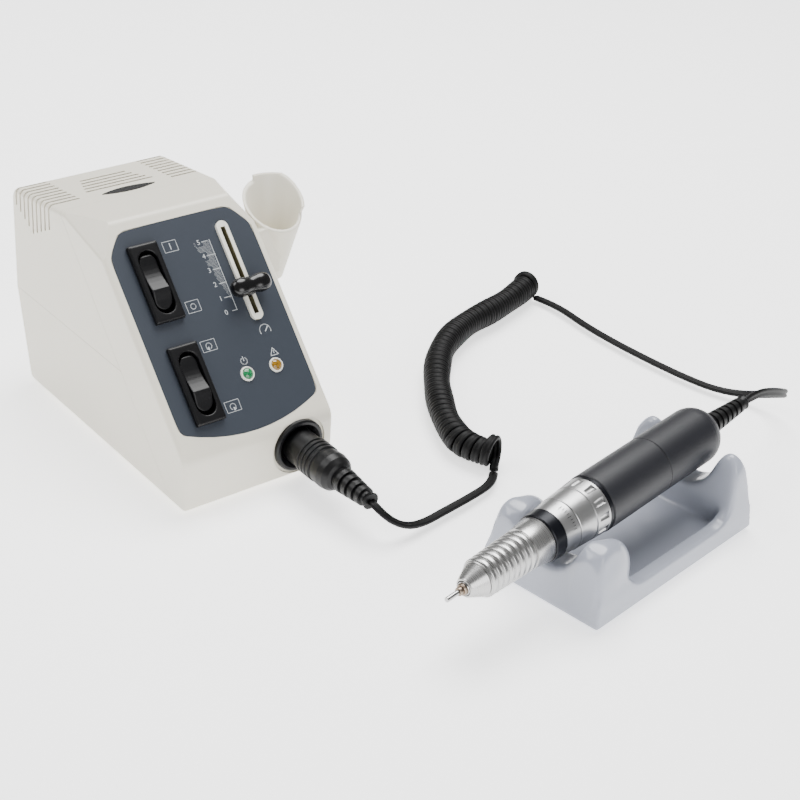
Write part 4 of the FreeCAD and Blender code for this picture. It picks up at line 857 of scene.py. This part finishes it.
def lobed_knob():
    mesh = bmesh.new()
    half_wide, half_tall = (knob_high[0] - knob_low[0]) / 2, (knob_high[1] - knob_low[1]) / 2
    base = frame_top + KNOB_CLEAR
    half_high = (knob_high[2] - base) / 2
    spots = smooth_line([Vector((along, radius, 0)) for along, radius in KNOB_OUTLINE], resolution=3)
    steps = 48
    rings = []
    for step in range(steps):
        angle = math.tau * step / steps
        cosine, sine = math.cos(angle), math.sin(angle)
        up = math.copysign(abs(cosine) ** SQUARER, cosine) * half_tall
        out = math.copysign(abs(sine) ** SQUARER, sine) * half_high
        rings.append([mesh.verts.new((knob_middle[0] + spot.x * half_wide, knob_middle[1] + up * spot.y,
                                      base + half_high + out * spot.y)) for spot in spots])
    for step in range(steps):
        here, there = rings[step], rings[(step + 1) % steps]
        for index in range(len(spots) - 1):
            mesh.faces.new((here[index], here[index + 1], there[index + 1], there[index]))
    bmesh.ops.remove_doubles(mesh, verts=mesh.verts, dist=1e-6)
    stem = bmesh.ops.create_cube(mesh, size=1.0)["verts"]
    tall = base + half_high - knob_low[2]
    for vertex in stem:
        vertex.co = Vector((knob_middle[0] + vertex.co.x * STEM_WIDE,
                            knob_middle[1] + vertex.co.y * STEM_TALL,
                            knob_low[2] + tall / 2 + vertex.co.z * tall))
    bmesh.ops.recalc_face_normals(mesh, faces=mesh.faces)
    data = bpy.data.meshes.new("knob")
    mesh.to_mesh(data)
    mesh.free()
    data.transform(PANEL)
    data.shade_smooth()
    return dress(link("knob", data), moulded("knob_gloss", linear(12, 12, 13), 0.2, 2400.0, 0.00001))


knob = lobed_knob()
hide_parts("slider_knob")
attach(knob, "speed_slider")
print("knob", len(knob.data.polygons), "faces")

# %% [markdown]
# ## Print on the panel
# On the real panel the markings are white ink, screen-printed on the film. They could be drawn in
# the material, but thin strokes blur there, so the print is one thin mesh just above the film. The
# class below draws it with strokes, boxes, arcs and numbers, much as a pen would.

# %% Print tools
class Print:
    """Flat ink on a plane: strokes, boxes, dots, rings and numbers, in millimetres."""

    def __init__(self, height):
        self.mesh = bmesh.new()
        self.height = height

    def area(self, points):
        self.mesh.faces.new([self.mesh.verts.new((x * MM, y * MM, self.height)) for x, y in points])

    def stroke(self, points, width):
        for (ax, ay), (bx, by) in zip(points, points[1:]):
            along = Vector((bx - ax, by - ay)).normalized()
            side = Vector((-along.y, along.x)) * width / 2
            reach = along * width / 2
            a, b = Vector((ax, ay)) - reach, Vector((bx, by)) + reach
            self.area([a - side, b - side, b + side, a + side])

    def box(self, low, high, width):
        corners = [low, (high[0], low[1]), high, (low[0], high[1]), low]
        self.stroke(corners, width)

    def arc(self, centre, radius, start, end, width, steps=20):
        points = []
        for index in range(steps + 1):
            angle = math.radians(start + (end - start) * index / steps)
            points.append((centre[0] + radius * math.cos(angle), centre[1] + radius * math.sin(angle)))
        self.stroke(points, width)
        return points[-1]

    def number(self, text, place, tall):
        font = bpy.data.curves.new("number", "FONT")
        font.body, font.size, font.align_x, font.align_y = text, tall * 1.35 * MM, "CENTER", "CENTER"
        carrier = bpy.data.objects.new("number", font)
        flat = bpy.data.meshes.new_from_object(carrier)
        for vertex in flat.vertices:
            vertex.co += Vector((place[0] * MM, place[1] * MM, self.height))
        self.mesh.from_mesh(flat)
        bpy.data.objects.remove(carrier)
        bpy.data.curves.remove(font)

    def finish(self, name, frame_of, paint):
        bmesh.ops.remove_doubles(self.mesh, verts=self.mesh.verts, dist=1e-7)
        data = bpy.data.meshes.new(name)
        self.mesh.to_mesh(data)
        self.mesh.free()
        data.transform(frame_of)
        made = dress(link(name, data), paint)
        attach(made, "housing")
        return made


INK_LIFT = 0.04 * MM
ink_height = film_high[2] + INK_LIFT
print("ink at", round(ink_height / MM, 3), "mm above the panel")

# %% [markdown]
# ## Scale
# The speed scale runs from 0 to 5 beside the slot, with a wedge of dots that widens with speed.
# Dots in rows that are shifted by half a step, as in a screen print, make its grey, and they leave
# room round the numbers.

# %% Scale
FIGURE_ACROSS, FIGURE_TALL, TICK_LINE = 7.9, 2.6, 0.32
DOT_STEP, DOT_HALF, DOT_ROWS, DOT_COLUMNS = 0.62, 0.13, 52, 15
ink = Print(ink_height)
SCALE = ((5, 98.8, 9.6, 12.9), (4, 91.5, 9.6, 14.2), (3, 84.1, 9.9, 14.2), (2, 76.7, 10.2, 14.1),
         (1, 69.4, 10.0, 13.7), (0, 62.2, 11.4, 14.1))
for figure, up, start, end in SCALE:
    ink.number(str(figure), (FIGURE_ACROSS, up), FIGURE_TALL)
    ink.stroke([(start, up), (end, up)], TICK_LINE)
ink.stroke([(14.0, 62.2), (14.0, 99.0)], TICK_LINE)
for row in range(DOT_ROWS):
    up = 67.2 + row * DOT_STEP
    left = 13.4 - 8.4 * (up - 67.0) / 32.0
    for column in range(DOT_COLUMNS):
        across = 13.2 - column * DOT_STEP - (row % 2) * DOT_STEP / 2
        beside_figures = abs(across - FIGURE_ACROSS) > 2.0
        if across > left and (beside_figures or min(abs(up - line[1]) for line in SCALE) > 2.2):
            ink.area([(across - DOT_HALF, up - DOT_HALF), (across + DOT_HALF, up - DOT_HALF),
                      (across + DOT_HALF, up + DOT_HALF), (across - DOT_HALF, up + DOT_HALF)])
print("scale of", len(SCALE), "figures")

# %% [markdown]
# ## Signs
# Signs that any maker uses stand for words: a bar and a ring in boxes for on and off, round arrows
# for the two ways of turning, and small signs for the lamps and the speed. Few strokes are enough,
# because each sign is only a few millimetres wide.

# %% Switch signs and lamp signs
BOX_LINE = 0.22
ink.box((-10.9, 97.9), (-3.5, 103.3), BOX_LINE)
ink.stroke([(-7.2, 99.2), (-7.2, 102.0)], 0.45)
ink.box((-11.2, 66.6), (-4.1, 72.4), BOX_LINE)
ink.arc((-7.65, 69.5), 1.35, 0, 360, 0.4)


def turning_sign(middle, way):
    """A box with a round arrow in it, for the way the spindle turns."""
    x, y = middle
    ink.box((x - 3.9, y - 2.7), (x + 3.9, y + 2.7), BOX_LINE)
    tip_x, tip_y = ink.arc((x, y - 0.2), 1.5, 90 - way * 150, 90 + way * 150, 0.38)
    head = [(tip_x - 1.0 * way, tip_y + 0.1), (tip_x + 0.7 * way, tip_y + 1.1),
            (tip_x + 0.7 * way, tip_y - 0.9)]
    ink.area(head[::way])


turning_sign((-7.8, 49.3), 1)
turning_sign((-7.8, 18.2), -1)
ink.arc((6.9, 37.2), 1.7, 125, 415, 0.4)
ink.stroke([(6.9, 37.4), (6.9, 39.4)], 0.4)
ink.stroke([(21.9, 35.7), (26.3, 35.7), (24.1, 39.4), (21.9, 35.7)], 0.36)
ink.stroke([(24.1, 36.8), (24.1, 38.1)], 0.36)
ink.arc((24.3, 48.6), 3.0, 200, -20, 0.45)
ink.stroke([(24.3, 48.2), (26.2, 50.2)], 0.5)
white_ink = moulded("white_ink", linear(196, 200, 202), 0.4, 2000.0, 0.00001)
panel_print = ink.finish("panel_print", PANEL, white_ink)
print("panel_print", len(panel_print.data.polygons), "faces")

# %% [markdown]
# ## Marks on the index sleeve
# The sleeve carries a row of engraved graduations. Cutting them into the steel would need a fine
# mesh all round it. They are drawn with the same flat strokes instead, then wrapped round the sleeve
# a hair above its surface.

# %% Marks
def wrapped(print_of, name, station, radius, around, paint):
    """Flat ink wrapped round the handpiece, its X along the axis, at an angle from the top."""
    data = bpy.data.meshes.new(name)
    print_of.mesh.to_mesh(data)
    print_of.mesh.free()
    for vertex in data.vertices:
        angle = math.radians(around) + vertex.co.y / (radius * MM)
        turn = Vector((0, math.sin(angle), math.cos(angle)))
        along = Vector((station * MM + vertex.co.x, 0, 0))
        vertex.co = HANDPIECE @ (along + turn * (radius * MM + vertex.co.z))
    made = dress(link(name, data), paint)
    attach(made, "housing")
    return made


engraving = moulded("engraving", linear(24, 24, 26), 0.5, 2000.0, 0.00001)
index_radius = extent("index_sleeve", HANDPIECE)[1][2] / MM
ticks = Print(INK_LIFT)
for count in range(9):
    tall = 2.4 if count % 4 == 0 else 1.4
    ticks.stroke([(4.6 - tall, count * 1.5), (4.6, count * 1.5)], 0.22)
index_marks = wrapped(ticks, "index_marks", 57.0, index_radius, -64.0, engraving)
print("index_marks", len(index_marks.data.polygons), "faces at radius", round(index_radius, 2), "mm")

# %% [markdown]
# ## Studio
# A pale floor that reaches far past the set, a white sky, one wide soft light high behind the set
# and two fainter ones, in front and at the left, to draw the edges. The floor glows a little, so it
# stays nearly white where the set shades it. No strong light stands where the sloping panel would
# mirror it to the camera, because the dark film would turn grey.

# %% Floor and lights
def soft_light(name, place, size, power, target):
    data = bpy.data.lights.new(name, "AREA")
    data.shape, data.size, data.energy = "DISK", size, power
    made = link(name, data)
    made.location = place
    made.rotation_euler = (Vector(target) - Vector(place)).to_track_quat("-Z", "Y").to_euler()
    return made


floor_mesh = bpy.data.meshes.new("floor")
FLOOR_HALF = 6.0
square = [(x * FLOOR_HALF, y * FLOOR_HALF, 0) for x, y in ((-1, -1), (1, -1), (1, 1), (-1, 1))]
floor_mesh.from_pydata(square, [], [(0, 1, 2, 3)])
floor = link("floor", floor_mesh)
floor.location.z = -0.0016
floor_paint = Paint("floor", (0.93, 0.93, 0.93), roughness=0.6, emission_color=(1, 1, 1, 1),
                    emission_strength=1.5)
floor_paint.spread(floor_paint.noise(6.0, 2.0), 0.55, 0.7)
dress(floor, floor_paint)
lights = [soft_light("key", (0.35, 0.30, 1.3), 1.1, 34.0, (0, 0, 0.04)),
          soft_light("fill", (-0.2, -1.25, 0.5), 0.9, 9.0, (0, 0, 0.04)),
          soft_light("rim", (-0.8, 0.5, 1.0), 0.8, 9.0, (0, 0, 0.05))]
world = bpy.data.worlds.new("sky")
world.use_nodes = True
sky = world.node_tree.nodes["Background"]
sky.inputs["Color"].default_value = (1.0, 1.0, 1.0, 1.0)
sky.inputs["Strength"].default_value = 0.3
bpy.context.scene.world = world
print(len(lights), "lights")
